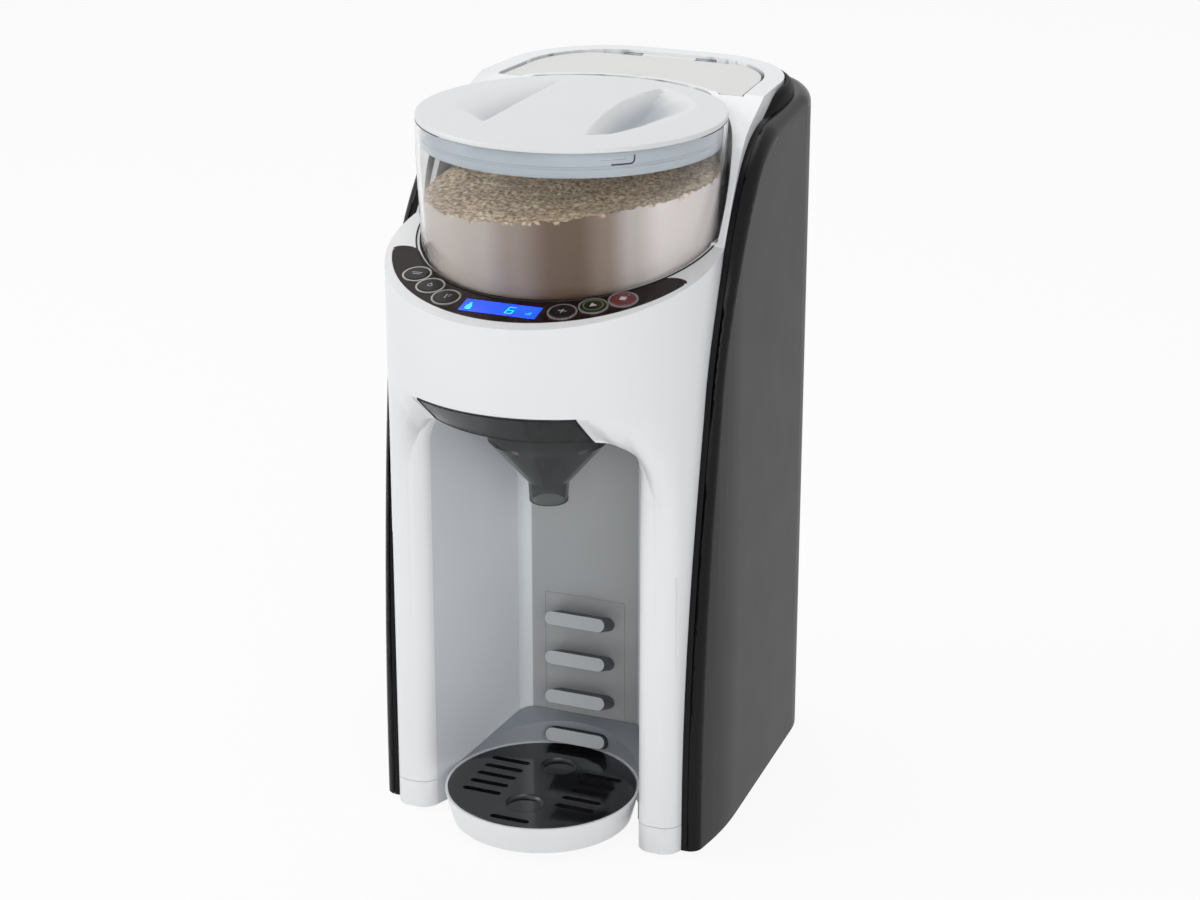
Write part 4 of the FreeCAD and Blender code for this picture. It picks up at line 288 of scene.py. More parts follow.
def bump(tree, shader, height, strength, distance):
    """Lets a height pattern ripple the shading without moving the mesh."""
    item = tree.nodes.new("ShaderNodeBump")
    item.inputs["Strength"].default_value = strength
    item.inputs["Distance"].default_value = distance
    tree.links.new(height, item.inputs["Height"])
    tree.links.new(item.outputs[0], shader.inputs["Normal"])


print("noise can vary colour, gloss and height")


# %% Moulded plastic, and the white and pale ones
def plastic(name, colour, shade, rough, ripple, scale, coat=0.0, metal=0.0, specular=0.5):
    """Moulded plastic or metal: colour drifts to shade, gloss varies, the skin ripples."""
    material, tree, shader, coords = blank(name)
    drift = noise_node(tree, 9.0, 3.0, coords)
    tree.links.new(mixed(tree, ranged(tree, drift.outputs["Fac"], 0, 1), colour, shade),
                   shader.inputs["Base Color"])
    wear = noise_node(tree, 34.0, 4.0, coords)
    tree.links.new(ranged(tree, wear.outputs["Fac"], *rough), shader.inputs["Roughness"])
    skin = noise_node(tree, scale, 3.0, coords)
    bump(tree, shader, skin.outputs["Fac"], ripple, 0.0004)
    shader.inputs["Metallic"].default_value = metal
    shader.inputs["Specular IOR Level"].default_value = specular
    shader.inputs["Coat Weight"].default_value = coat
    shader.inputs["Coat Roughness"].default_value = 0.06
    return material


white_gloss = plastic("white_gloss", (0.80, 0.805, 0.81), (0.775, 0.785, 0.795), (0.28, 0.30),
                      0.008, 90.0)
LID_PLASTIC = ((0.72, 0.73, 0.735), (0.70, 0.705, 0.71), (0.34, 0.42), 0.10, 400.0)
lid_white = plastic("lid_white", *LID_PLASTIC)
tank_white = plastic("tank_white", (0.70, 0.695, 0.675), (0.68, 0.675, 0.655), (0.34, 0.42),
                     0.10, 400.0)
paddle_white = plastic("paddle_white", (0.72, 0.73, 0.72), (0.66, 0.67, 0.66), (0.38, 0.48),
                       0.12, 400.0)
nylon_pale = plastic("nylon_pale", (0.72, 0.70, 0.62), (0.66, 0.64, 0.56), (0.40, 0.50),
                     0.12, 500.0)
hose_milky = plastic("hose_milky", (0.62, 0.63, 0.62), (0.56, 0.57, 0.56), (0.35, 0.45),
                     0.08, 400.0)
print("pale plastics", white_gloss.name, lid_white.name, tank_white.name, paddle_white.name,
      nylon_pale.name, hose_milky.name)

# %% Grey plastics of the cavity
liner_side = plastic("liner_side", (0.64, 0.665, 0.70), (0.59, 0.615, 0.65), (0.36, 0.44),
                     0.08, 400.0)
# A darker grey for the back wall and the rung panel, as painted shade, and a paler, glossier one
# for the edge, as a painted highlight.
liner_back_shade = plastic("liner_back_shade", (0.375, 0.385, 0.39), (0.34, 0.35, 0.36), (0.36, 0.44),
                     0.08, 400.0)
liner_edge_highlight = plastic("liner_edge_highlight", (0.68, 0.71, 0.74), (0.62, 0.65, 0.68), (0.28, 0.34),
                     0.05, 400.0)
# The rungs' grey, painted lit on their front faces and painted in shade, nearly black, on their
# sides.
rung_face_lit = plastic("rung_face_lit", (0.42, 0.435, 0.45), (0.38, 0.395, 0.41), (0.30, 0.38),
                    0.08, 500.0)
rung_side_shaded = plastic("rung_side_shaded", (0.07, 0.075, 0.085), (0.06, 0.065, 0.072), (0.36, 0.44),
                    0.08, 500.0)
bracket_finish = plastic("bracket_finish", (0.29, 0.31, 0.34), (0.26, 0.28, 0.31), (0.30, 0.38),
                         0.10, 500.0)
print("greys", liner_side.name, liner_back_shade.name, liner_edge_highlight.name, rung_face_lit.name,
      rung_side_shaded.name, bracket_finish.name)

# %% Dark plastics
cover_dark = plastic("cover_dark", (0.027, 0.027, 0.026), (0.023, 0.023, 0.022), (0.38, 0.41),
                     0.08, 900.0, specular=0.12)
trim_black = plastic("trim_black", (0.006, 0.006, 0.007), (0.009, 0.009, 0.010), (0.20, 0.26),
                     0.02, 500.0, specular=0.12)
bead_black = plastic("bead_black", (0.004, 0.004, 0.005), (0.006, 0.006, 0.007), (0.42, 0.50),
                     0.02, 500.0, specular=0.05)
panel_gloss = plastic("panel_gloss", (0.016, 0.007, 0.006), (0.010, 0.005, 0.005), (0.08, 0.12),
                      0.02, 60.0, specular=0.12)
button_black = plastic("button_black", (0.010, 0.007, 0.008), (0.014, 0.009, 0.010),
                       (0.30, 0.38), 0.06, 500.0, specular=0.15)
grid_black = plastic("grid_black", (0.005, 0.005, 0.006), (0.009, 0.009, 0.010), (0.09, 0.14),
                     0.03, 80.0, coat=0.25)
bowl_finish = plastic("bowl_finish", (0.028, 0.029, 0.032), (0.022, 0.023, 0.026),
                      (0.22, 0.30), 0.04, 300.0)
rubber_soft = plastic("rubber_soft", (0.020, 0.020, 0.020), (0.030, 0.030, 0.030), (0.65, 0.80),
                      0.30, 900.0)
inner_black = plastic("inner_black", (0.025, 0.025, 0.026), (0.035, 0.035, 0.036), (0.45, 0.60),
                      0.20, 600.0)
print("darks", cover_dark.name, trim_black.name, bead_black.name, panel_gloss.name,
      button_black.name, grid_black.name, bowl_finish.name, rubber_soft.name, inner_black.name)

# %% Metals, circuit board and key colours
steel_bright = plastic("steel_bright", (0.62, 0.62, 0.63), (0.55, 0.55, 0.56), (0.22, 0.34),
                       0.10, 900.0, metal=1.0)
zinc_plate = plastic("zinc_plate", (0.52, 0.52, 0.53), (0.44, 0.44, 0.45), (0.32, 0.46),
                     0.18, 300.0, metal=1.0)
ring_silver = plastic("ring_silver", (0.40, 0.385, 0.37), (0.34, 0.33, 0.32), (0.25, 0.35),
                      0.05, 500.0, metal=0.6)
board_green = plastic("board_green", (0.02, 0.15, 0.06), (0.03, 0.20, 0.08), (0.35, 0.45),
                      0.15, 900.0)
key_red = plastic("key_red", (0.13, 0.012, 0.016), (0.10, 0.010, 0.013), (0.20, 0.28),
                  0.06, 500.0)
key_green = plastic("key_green", (0.12, 0.22, 0.05), (0.10, 0.19, 0.04), (0.25, 0.35),
                    0.05, 500.0)
key_print = plastic("key_print", (0.55, 0.53, 0.53), (0.48, 0.46, 0.46), (0.35, 0.45),
                    0.02, 500.0)
print("opaque finishes", len(bpy.data.materials) - 1)


# %% [markdown]
# ## Clear plastics
# The powder tub, the water tank and the funnel drawer are clear mouldings with thin walls.
# A glass shader with its full refraction would bend the view as a solid block does. Light
# goes nearly straight through a thin wall, so the refraction is set low, and a haze in the
# gloss keeps the walls visible. The drawer has a smoky tint. The seal is milky: a part of
# the light is stopped in it as in a pale body.

# %% Clear finishes
def clear(name, tint, rough, solid, ior):
    """Clear plastic; solid says how much of the light it stops as a pale body."""
    material, tree, shader, coords = blank(name)
    haze = noise_node(tree, 40.0, 3.0, coords)
    tree.links.new(ranged(tree, haze.outputs["Fac"], rough, rough * 1.6),
                   shader.inputs["Roughness"])
    tree.links.new(mixed(tree, haze.outputs["Fac"], tint, tuple(0.94 * c for c in tint)),
                   shader.inputs["Base Color"])
    skin = noise_node(tree, 70.0, 2.0, coords)
    bump(tree, shader, skin.outputs["Fac"], 0.02, 0.0004)
    shader.inputs["Transmission Weight"].default_value = 1.0 - solid
    shader.inputs["IOR"].default_value = ior
    return material


tub_clear = clear("tub_clear", (0.95, 0.95, 0.96), 0.02, 0.0, 1.12)
shader_of(tub_clear).inputs["Coat Weight"].default_value = 0.3
shader_of(tub_clear).inputs["Coat Roughness"].default_value = 0.08
tank_clear = clear("tank_clear", (0.84, 0.90, 0.94), 0.03, 0.0, 1.15)
smoky_clear = clear("smoky_clear", (0.31, 0.32, 0.32), 0.04, 0.12, 1.10)
seal_blue = clear("seal_blue", (0.66, 0.73, 0.78), 0.16, 0.65, 1.3)
print("clear finishes", tub_clear.name, tank_clear.name, smoky_clear.name, seal_blue.name)

# %% [markdown]
# ## Finishes on the CAD pieces
# The record names a material slot for each CAD piece, so one table from slot to finish
# dresses them all, and a second, short one holds the exceptions. A CAD piece arrives as
# loose triangles, and its mesh must not be changed. A Weld modifier joins the triangles
# and an Edge Split keeps the sharp edges, so that round faces shade smoothly while the
# mesh itself is left alone.

# %% Dress the CAD pieces
SLOT_FINISH = {
    "white_shell": white_gloss, "dark_cover": cover_dark, "black_gloss": trim_black,
    "liner_grey": liner_side, "tray_grey": bracket_finish, "panel_dark": panel_gloss,
    "button_dark": button_black, "ring_bright": ring_silver, "display_blue": panel_gloss,
    "clear_tub": tub_clear, "clear_tank": tank_clear, "smoky": smoky_clear,
    "powder": nylon_pale, "mixer_white": paddle_white, "seal_grey": seal_blue,
    "rubber_dark": rubber_soft, "steel": steel_bright, "zinc": zinc_plate,
    "motor_can": steel_bright, "nylon": nylon_pale, "board_green": board_green,
    "hose_clear": hose_milky, "inner_black": inner_black,
}
NODE_FINISH = {"tank_lid": tank_white, "tank_lid_pin": tank_white, "tray_grid": grid_black}
WELD_REACH, SHARP_ANGLE = 0.00001, 28
slot_of = {row["node"]: row["material_slot"] for row in frame["record"]["subparts"]}

for name, piece in nodes.items():
    piece.data.materials.clear()
    piece.data.materials.append(NODE_FINISH.get(name, SLOT_FINISH[slot_of[name]]))
    for face in piece.data.polygons:
        face.use_smooth = True
    weld = piece.modifiers.new("weld", "WELD")
    weld.merge_threshold = WELD_REACH
    split = piece.modifiers.new("sharp_edges", "EDGE_SPLIT")
    split.split_angle = math.radians(SHARP_ANGLE)
print("dressed", len(nodes))


# %% [markdown]
# ## Copies of CAD pieces
# Real mouldings have soft edges, and many edges of the CAD solids are sharp. The CAD mesh
# itself may not be changed, so where an edge should be soft it is copied. The copy's loose
# triangles are merged, flat areas are dissolved into single faces, and a small bevel then
# runs cleanly along the true edges. The finished copy stands for the CAD piece.

# %% Copy and merge
MERGE_REACH = 0.00002


def take(names, name):
    """One merged mesh from copies of CAD nodes."""
    copies = []
    for node in names:
        copy = nodes[node].copy()
        copy.data = nodes[node].data.copy()
        copy.modifiers.clear()
        copy.parent = None
        bpy.context.collection.objects.link(copy)
        copies.append(copy)
    deselect()
    for copy in copies:
        copy.select_set(True)
    bpy.context.view_layer.objects.active = copies[0]
    if len(copies) > 1:
        bpy.ops.object.join()
    piece = bpy.context.object
    piece.name = name
    piece.data.name = name
    bpy.ops.object.mode_set(mode="EDIT")
    bpy.ops.mesh.select_all(action="SELECT")
    bpy.ops.mesh.remove_doubles(threshold=MERGE_REACH)
    bpy.ops.object.mode_set(mode="OBJECT")
    return piece


def flatten(piece, degrees=1.0):
    """Merges coplanar triangles into larger faces."""
    pick(piece)
    bpy.ops.object.mode_set(mode="EDIT")
    bpy.ops.mesh.select_all(action="SELECT")
    bpy.ops.mesh.dissolve_limited(angle_limit=math.radians(degrees))
    bpy.ops.object.mode_set(mode="OBJECT")


print("triangles of the CAD housing", len(nodes["main_housing"].data.polygons))


# %% Modifiers that are applied at once
def apply(piece, kind, **settings):
    """Adds one modifier, sets it, and applies it."""
    pick(piece)
    item = piece.modifiers.new(kind.lower(), kind)
    for key, value in settings.items():
        setattr(item, key, value)
    bpy.ops.object.modifier_apply(modifier=item.name)


def unite(piece, tool):
    """Joins a closed mesh to the piece, so that one skin is left."""
    apply(piece, "BOOLEAN", operation="UNION", object=tool, solver="EXACT")
    bpy.data.objects.remove(tool)


def smooth(piece, angle=35, weighted=False):
    """Smooth shading with sharp edges kept; weighted lets the large faces rule the normals."""
    pick(piece)
    bpy.ops.object.shade_smooth_by_angle(angle=math.radians(angle))
    if weighted:
        apply(piece, "WEIGHTED_NORMAL", keep_sharp=True, weight=60)


def soften(piece, width, angle=40, segments=2):
    """Rounds the edges that are sharper than angle, then shades smooth."""
    apply(piece, "BEVEL", width=width, segments=segments, limit_method="ANGLE",
          angle_limit=math.radians(angle), harden_normals=False, use_clamp_overlap=True)
    smooth(piece, 35, True)


print("helpers for bevels and unions ready")


# %% Hand a piece over to its body
def finished(piece, finishes, body, slot, *replaced):
    """Gives the piece its finishes, its body and the CAD nodes it stands for; slot is not used."""
    piece.data.materials.clear()
    for one in finishes:
        piece.data.materials.append(one)
    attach(piece, body)
    if replaced:
        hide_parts(*replaced)
    print(piece.name, "faces", len(piece.data.polygons))
    return piece


# %% [markdown]
# ## White shell: its soft front
# The housing is moulded in parts that meet without a visible seam. The belly doesn't step
# back to the pillars: it flows down into them in a soft hollow, and the arch over the
# cavity is rolled inwards. Sculpting that by hand would give a slightly different skin at
# every point. Instead, one function says how far forward the skin stands at any place, from
# three simple shapes: the round belly, the flat pillar with its rounded corner, and the
# roll along the arch.

# %% Belly and pillar
FRONT_CENTRE, FRONT_RADIUS = -0.044, 0.082
PILLAR_FRONT, NOSE = -0.0785, 0.0085
FLAT_OUTER, NOSE_OUTER = 0.0690, 0.0767


def ease(t):
    """Runs from 0 to 1 with a soft start and end."""
    t = min(1.0, max(0.0, t))
    return t * t * (3 - 2 * t)


def arc_front(x, radius):
    """The front of a round body of that radius at x."""
    return FRONT_CENTRE - math.sqrt(max(radius * radius - x * x, 0.0))


def pillar_skin(x):
    """The pillar's front: flat, rounded at its outer corner, then the round side."""
    if x < FLAT_OUTER:
        return PILLAR_FRONT
    if x < NOSE_OUTER:
        return PILLAR_FRONT + NOSE - math.sqrt(NOSE ** 2 - (x - FLAT_OUTER) ** 2)
    return arc_front(x, FRONT_RADIUS)


print("belly front in mm", round(arc_front(0.0, FRONT_RADIUS) / MM, 1),
      "pillar front", round(PILLAR_FRONT / MM, 1))

# %% Arch and hollow
BELLY_LOW, SETBACK = 0.221, 0.017
HOLLOW_LOW, HOLLOW_HIGH, HOLLOW_DROP = 0.199, 0.2384, 2.0
ARCH_INNER, ARCH_ROUND = 0.0579, 0.022
ARCH_X, ARCH_Z = ARCH_INNER - ARCH_ROUND, BELLY_LOW - ARCH_ROUND
SHIELD_EDGE, SHIELD_FADE = 0.0413, 0.011


def arch_distance(x, z):
    """How far x, z lies outside the arch over the cavity."""
    if z < ARCH_Z:
        return x - ARCH_INNER
    if x < ARCH_X:
        return z - BELLY_LOW
    return math.hypot(x - ARCH_X, z - ARCH_Z) - ARCH_ROUND


def slant_front(x, z):
    """The belly's lower band, which slants back where the funnel's shield closes it."""
    drop = min(SETBACK, max(0.0, BELLY_LOW + SETBACK - z))
    return arc_front(x, FRONT_RADIUS - drop)


def front_skin(x, z):
    """How far forward the skin stands at x and z, between belly, pillar and arch."""
    low = HOLLOW_LOW - HOLLOW_DROP * max(0.0, x - ARCH_INNER)
    rise = ease((z - low) / (HOLLOW_HIGH - low))
    pillar = pillar_skin(x)
    belly = arc_front(x, FRONT_RADIUS)
    near = max(0.0, NOSE - max(0.0, arch_distance(x, z)))
    roll = NOSE - math.sqrt(max(0.0, NOSE ** 2 - near ** 2))
    full = pillar + (belly - pillar) * rise + roll
    slanted = slant_front(x, z)
    return slanted + (full - slanted) * ease((x - SHIELD_EDGE) / SHIELD_FADE)


print("skin beside the arch in mm", round(front_skin(ARCH_INNER, ARCH_Z) / MM, 1))


# %% [markdown]
# ## White shell: the block round the arch
# The skin has to become a mesh whose points follow the roll, or the roll would look
# faceted. A plain grid would cut across it. So the points are laid out in rings: along the
# arch from near its crown down its leg, and from each of those places outwards, finely in
# the roll and coarsely beyond. A grid primitive has the right faces; its points are moved
# to the rings, and it is extruded back into a closed block, which a union then joins to
# the shell.

# %% Rings round the arch
ARCH_STEPS, LEG_STEPS, ROLL_STEPS, OUT_STEPS = 26, 21, 9, 14
ARCH_START, ARCH_SWEEP = 14.0, 76.0
BLOCK_LOW, BLOCK_OUTER, BLOCK_OVER = 0.150, 0.0788, 0.006


def arch_rings():
    """Places on the arch, each with the direction that leads away from it."""
    places = []
    for i in range(ARCH_STEPS + 1):
        angle = math.radians(ARCH_START + ARCH_SWEEP * i / ARCH_STEPS)
        away = math.sin(angle), math.cos(angle)
        places.append((ARCH_X + ARCH_ROUND * away[0], ARCH_Z + ARCH_ROUND * away[1], *away))
    for i in range(1, LEG_STEPS + 1):
        places.append((ARCH_INNER, ARCH_Z - (ARCH_Z - BLOCK_LOW) * i / LEG_STEPS, 1.0, 0.0))
    return places


def away_steps(x, z, dx, dz):
    """Distances from the arch: fine in the roll, coarser out to the block's edge."""
    reach = min((BLOCK_OUTER - x) / dx if dx > 0.01 else 9.0,
                (HOLLOW_HIGH + BLOCK_OVER - z) / dz if dz > 0.01 else 9.0)
    fine = [NOSE * (1 - math.cos(0.5 * math.pi * j / ROLL_STEPS)) for j in range(ROLL_STEPS + 1)]
    coarse = [NOSE + (reach - NOSE) * j / OUT_STEPS for j in range(1, OUT_STEPS + 1)]
    return [min(s, reach) for s in fine] + coarse


print("rings", len(arch_rings()), "steps", ROLL_STEPS + 1 + OUT_STEPS)

# %% The block, and the joined shell
BLOCK_BACK, FAR_BACK, PROUD = -0.0615, 0.2, 0.00002


def hollow_block(side):
    """A block whose front is front_skin and whose back lies inside the shell."""
    rings = arch_rings()
    rows = ROLL_STEPS + 1 + OUT_STEPS
    deselect()
    bpy.ops.mesh.primitive_grid_add(x_subdivisions=len(rings) - 1, y_subdivisions=rows - 1,
                                    size=1.0)
    block = bpy.context.object
    points = sorted(block.data.vertices, key=lambda p: (round(p.co.x, 4), round(p.co.y, 4)))
    for i, (x, z, dx, dz) in enumerate(rings):
        for j, step in enumerate(away_steps(x, z, dx, dz)):
            a, c = x + dx * step, z + dz * step
            points[i * rows + j].co = (side * a, front_skin(a, c) + PROUD, c)
    pick(block)
    bpy.ops.object.mode_set(mode="EDIT")
    bpy.ops.mesh.select_all(action="SELECT")
    bpy.ops.mesh.extrude_region_move(TRANSFORM_OT_translate={"value": (0, 0.5, 0)})
    bpy.ops.mesh.select_all(action="SELECT")
    bpy.ops.mesh.normals_make_consistent(inside=False)
    bpy.ops.object.mode_set(mode="OBJECT")
    for point in block.data.vertices:
        if point.co.y > FAR_BACK:
            point.co.y = BLOCK_BACK
    return block


shell = take(["main_housing"], "white_shell")
for node in ("pillar_left", "pillar_right"):
    unite(shell, take([node], node + "_copy"))
for side in (-1, 1):
    unite(shell, hollow_block(side))
unite(shell, take(["tank_housing"], "tank_housing_copy"))
flatten(shell, 0.6)
print("shell faces", len(shell.data.polygons))


# %% [markdown]
# ## White shell: rounded rim and even gloss
# The rim round the tank is rounded by several millimetres, all other edges by less than
# one. A bevel can take its width from a weight on each edge, so the rim's edges are marked
# by their place and bevelled first, and a narrow bevel by angle follows. Gloss shows every
# unevenness of the normals, and a union leaves long thin faces. The front's exact normals
# are known from its function, so they are set on the mesh in place of the averaged ones.

# %% Round the rim
RIM_TOP, RIM_CORNER_X, RIM_CORNER_Y = 0.3596, 0.0185, 0.065
RIM_RADIUS, RIM_SIDE, RIM_ROUND = 0.0535, 0.0735, 0.0056


def weigh(piece, wanted):
    """Marks the edges that wanted accepts, for a bevel by weight."""
    mesh = piece.data
    weights = mesh.attributes.new("bevel_weight_edge", "FLOAT", "EDGE")
    count = 0
    for edge in mesh.edges:
        a, b = (mesh.vertices[i].co for i in edge.vertices)
        if wanted(a, b):
            weights.data[edge.index].value = 1.0
            count += 1
    return count


def is_outer_rim(a, b):
    """The top edge all round the outside, from ramp to ramp."""
    def outside(p):
        if p.y > RIM_CORNER_Y:
            return math.hypot(max(abs(p.x) - RIM_CORNER_X, 0.0), p.y - RIM_CORNER_Y) > RIM_RADIUS
        return abs(p.x) > RIM_SIDE
    return min(a.z, b.z) > RIM_TOP and outside(a) and outside(b)


print("rim edges", weigh(shell, is_outer_rim))
apply(shell, "BEVEL", width=RIM_ROUND, segments=7, limit_method="WEIGHT", use_clamp_overlap=True)
soften(shell, 0.0007, 40, 2)
finished(shell, [white_gloss], "machine", "white_shell", "main_housing", "pillar_left",
         "pillar_right", "tank_housing")

# %% Directions of the soft front
ON_SKIN, ON_BELLY, SLOPE_STEP = 0.00012, 0.00006, 0.0002
SKIN_INNER, SKIN_LOW, SKIN_HIGH = 0.0412, 0.120, 0.2424
BELLY_FROM, NEARLY_THE_SAME = 0.2374, 0.93


def slopes(x, z):
    """How the skin's front changes across and upwards."""
    across = front_skin(x + SLOPE_STEP, z) - front_skin(x - SLOPE_STEP, z)
    upward = front_skin(x, z + SLOPE_STEP) - front_skin(x, z - SLOPE_STEP)
    return across / (2 * SLOPE_STEP), upward / (2 * SLOPE_STEP)


def skin_normal(p):
    """The exact direction that the soft front faces at p, or None off it."""
    x, y, z = abs(p.x), p.y, p.z
    off_belly = abs(math.hypot(x, y - FRONT_CENTRE) - FRONT_RADIUS)
    if z > BELLY_FROM and off_belly < ON_BELLY:
        return Vector((p.x, y - FRONT_CENTRE, 0)).normalized()
    if not SKIN_INNER <= x <= BLOCK_OUTER or not SKIN_LOW < z < SKIN_HIGH:
        return None
    if abs(front_skin(x, z) - y) > ON_SKIN:
        return None
    across, upward = slopes(x, z)
    return Vector((math.copysign(1.0, p.x) * across, -1.0, upward)).normalized()


print("slopes beside the arch", [round(v, 2) for v in slopes(ARCH_INNER + NOSE / 2, ARCH_Z)])


# %% Set the exact normals
def smooth_front(piece):
    """Gives the faces of the soft front their exact normals, so that gloss runs evenly."""
    mesh = piece.data
    wanted = [Vector(corner.vector) for corner in mesh.corner_normals]
    count = 0
    for face in mesh.polygons:
        for k in face.loop_indices:
            normal = skin_normal(mesh.vertices[mesh.loops[k].vertex_index].co)
            if normal and normal.dot(face.normal) > NEARLY_THE_SAME:
                wanted[k] = normal
                count += 1
    mesh.normals_split_custom_set(wanted)
    return count


print("corners with exact normals", smooth_front(shell))


# %% [markdown]
# ## Turned pieces
# The lid, the seal and the powder are all round about the container's upright axis. A
# stack of cylinders could stand for them, but every change of radius would be another
# piece. A profile spun round the axis gives the whole turned shape as one closed skin, and
# its points lie where a later step needs them.

# %% Spin a profile
AXIS_Y = -0.024
SEAM_REACH = 0.000004


def lathe(name, profile, steps=120, centre_y=AXIS_Y):
    """Spins a list of (radius, height) points, in metres, round an upright axis."""
    mesh = bpy.data.meshes.new(name)
    mesh.from_pydata([(r, centre_y, z) for r, z in profile],
                     [(i, i + 1) for i in range(len(profile) - 1)], [])
    piece = bpy.data.objects.new(name, mesh)
    bpy.context.collection.objects.link(piece)
    pick(piece)
    bpy.ops.object.mode_set(mode="EDIT")
    bpy.ops.mesh.select_all(action="SELECT")
    bpy.ops.mesh.spin(steps=steps, angle=2 * math.pi, center=(0, centre_y, 0), axis=(0, 0, 1))
    bpy.ops.mesh.select_all(action="SELECT")
    bpy.ops.mesh.remove_doubles(threshold=SEAM_REACH)
    bpy.ops.mesh.normals_make_consistent(inside=False)
    bpy.ops.object.mode_set(mode="OBJECT")
    return piece


print("axis of the container at y in mm", round(AXIS_Y / MM, 1))

# %% [markdown]
# ## Lid: its two finger scoops
# The lid is a disc with two finger scoops beside a broad grip bar. Each scoop has a steep
# wall at the bar, a valley, and a floor that rises in a curve to its outer edge. Cutting
# them with a solid tool would leave one plain hollow. Here the outlines are drawn as lines
# of points, and a function gives the depth at any place from how far it lies between them.

# %% Outlines of the scoops
RIGHT_INNER = [(26.0, -42.6), (21.5, -25.9), (17.3, 0.1), (16.1, 28.4), (18.8, 47.7),
               (23.8, 59.1)]
RIGHT_VALLEY = [(26.0, -42.6), (29.6, -30.0), (28.6, 0.0), (27.0, 28.0), (25.2, 48.0),
                (23.8, 59.1)]
RIGHT_OUTER = [(26.0, -42.6), (36.8, -36.1), (43.6, -20.8), (49.4, -10.1), (53.8, 4.5),
               (54.1, 26.4), (48.1, 39.4), (34.7, 54.3), (23.8, 59.1)]
LEFT_INNER = [(29.7, -36.6), (30.0, 10.0), (30.3, 59.0)]
LEFT_OUTER = [(29.7, -36.6), (58.4, -13.8), (61.8, 0.5), (57.6, 20.6), (49.4, 38.0),
              (38.7, 50.7), (30.3, 59.0)]


def across(line, y):
    """Where a line of (x, y) points, in mm, crosses the height y."""
    for (x0, y0), (x1, y1) in zip(line, line[1:]):
        if y0 <= y <= y1:
            return x0 + (x1 - x0) * (y - y0) / (y1 - y0) if y1 > y0 else x0
    return None


print("right scoop from", across(RIGHT_INNER, 0.1), "to", round(across(RIGHT_OUTER, 0.1), 1))

# %% Depth of the right scoop
LEAST_WIDTH = 0.4
RIGHT_START, RIGHT_LENGTH, RIGHT_DEPTH = -42.6, 101.7, 8.6
LOBE_X, LOBE_Y, LOBE_WIDE, LOBE_LONG, LOBE_DEPTH = 40.5, 27.0, 13.5, 21.0, 1.7


def bowl(share):
    """A rounded rise from 0 at the valley to 1 at the outer edge."""
    return math.sin(0.5 * math.pi * min(1.0, max(0.0, share))) ** 1.15


def right_scoop(x, y):
    """The right scoop: wall, valley and floor, with a thumb's hollow in the floor."""
    inner, valley, outer = (across(line, y) for line in (RIGHT_INNER, RIGHT_VALLEY, RIGHT_OUTER))
    if inner is None or not inner <= x <= outer:
        return 0.0
    length = (y - RIGHT_START) / RIGHT_LENGTH
    deep = RIGHT_DEPTH * max(0.0, 4 * length * (1 - length)) ** 0.62
    if x <= valley:
        return -deep * ((x - inner) / max(valley - inner, LEAST_WIDTH)) ** 0.9
    share = (x - valley) / max(outer - valley, LEAST_WIDTH)
    lobe = 1 - min(1.0, math.hypot((x - LOBE_X) / LOBE_WIDE, (y - LOBE_Y) / LOBE_LONG) ** 3)
    thumb = LOBE_DEPTH * max(0.0, lobe) ** 0.8 * min(1.0, 6 * (1 - share))
    return -deep * (1 - bowl(share)) - thumb


print("right valley's depth in mm", round(right_scoop(28.6, 8.0), 1))

# %% Depth of the left scoop
LEFT_START, LEFT_LENGTH, LEFT_DEPTH, LEFT_WALL = -36.6, 95.6, 7.6, 0.9


def left_scoop(x, y):
    """The left scoop: its wall is the deepest place, and the floor rises from there."""
    inner, outer = across(LEFT_INNER, y), across(LEFT_OUTER, y)
    if inner is None or not inner <= x <= outer:
        return 0.0
    length = (y - LEFT_START) / LEFT_LENGTH
    deep = LEFT_DEPTH * min(1.0, 9 * length) ** 0.8 * (1 - length) ** 0.45
    share = (x - inner) / max(outer - inner, LEAST_WIDTH)
    return -deep * (1 - bowl(share)) * min(1.0, (x - inner) / LEFT_WALL)


def lid_press(x, y):
    """Depth in mm under the lid's top at x and y, in mm from its centre."""
    return right_scoop(x, y) if x > 0 else left_scoop(-x, y)


print("left valley's depth in mm", round(lid_press(-31.0, 8.0), 1))

# %% [markdown]
# ## Lid: the disc
# The disc, its thin rim and its skirt are one spun profile. The top gets ninety rings of
# points and two hundred steps round, so that it has enough points for the scoops, and then
# each point inside an outline is pressed down by its depth.

# %% Turn the lid and press it
LID_TOP, LID_UNDER, RIM_LOW, SKIRT_LOW = 0.360, 0.3580, 0.3575, 0.3502
TOP_RINGS, UNDER_RINGS, LID_STEPS, PRESS_REACH = 92, 46, 200, 70.0
top_profile = [(0.0, LID_TOP)]
top_profile += [(0.0742 * i / TOP_RINGS, LID_TOP) for i in range(1, TOP_RINGS + 1)]
side_profile = [(0.07475, 0.35985), (0.075, 0.3594), (0.075, RIM_LOW + 0.0003),
                (0.0747, RIM_LOW), (0.0716, RIM_LOW), (0.0716, SKIRT_LOW),
                (0.0696, SKIRT_LOW), (0.0696, 0.3576)]
under_profile = [(0.0690 * i / UNDER_RINGS, LID_UNDER) for i in range(UNDER_RINGS, 0, -1)]
under_profile += [(0.0, LID_UNDER)]
lid = lathe("lid", top_profile + side_profile + under_profile, steps=LID_STEPS)
pressed = 0
for point in lid.data.vertices:
    x, y = point.co.x / MM, (point.co.y - AXIS_Y) / MM
    if math.hypot(x, y) < PRESS_REACH and point.co.z > RIM_LOW:
        depth = lid_press(x, y)
        if depth:
            point.co.z += depth * MM
            pressed += 1
smooth(lid, 38)
print("lid points pressed", pressed)
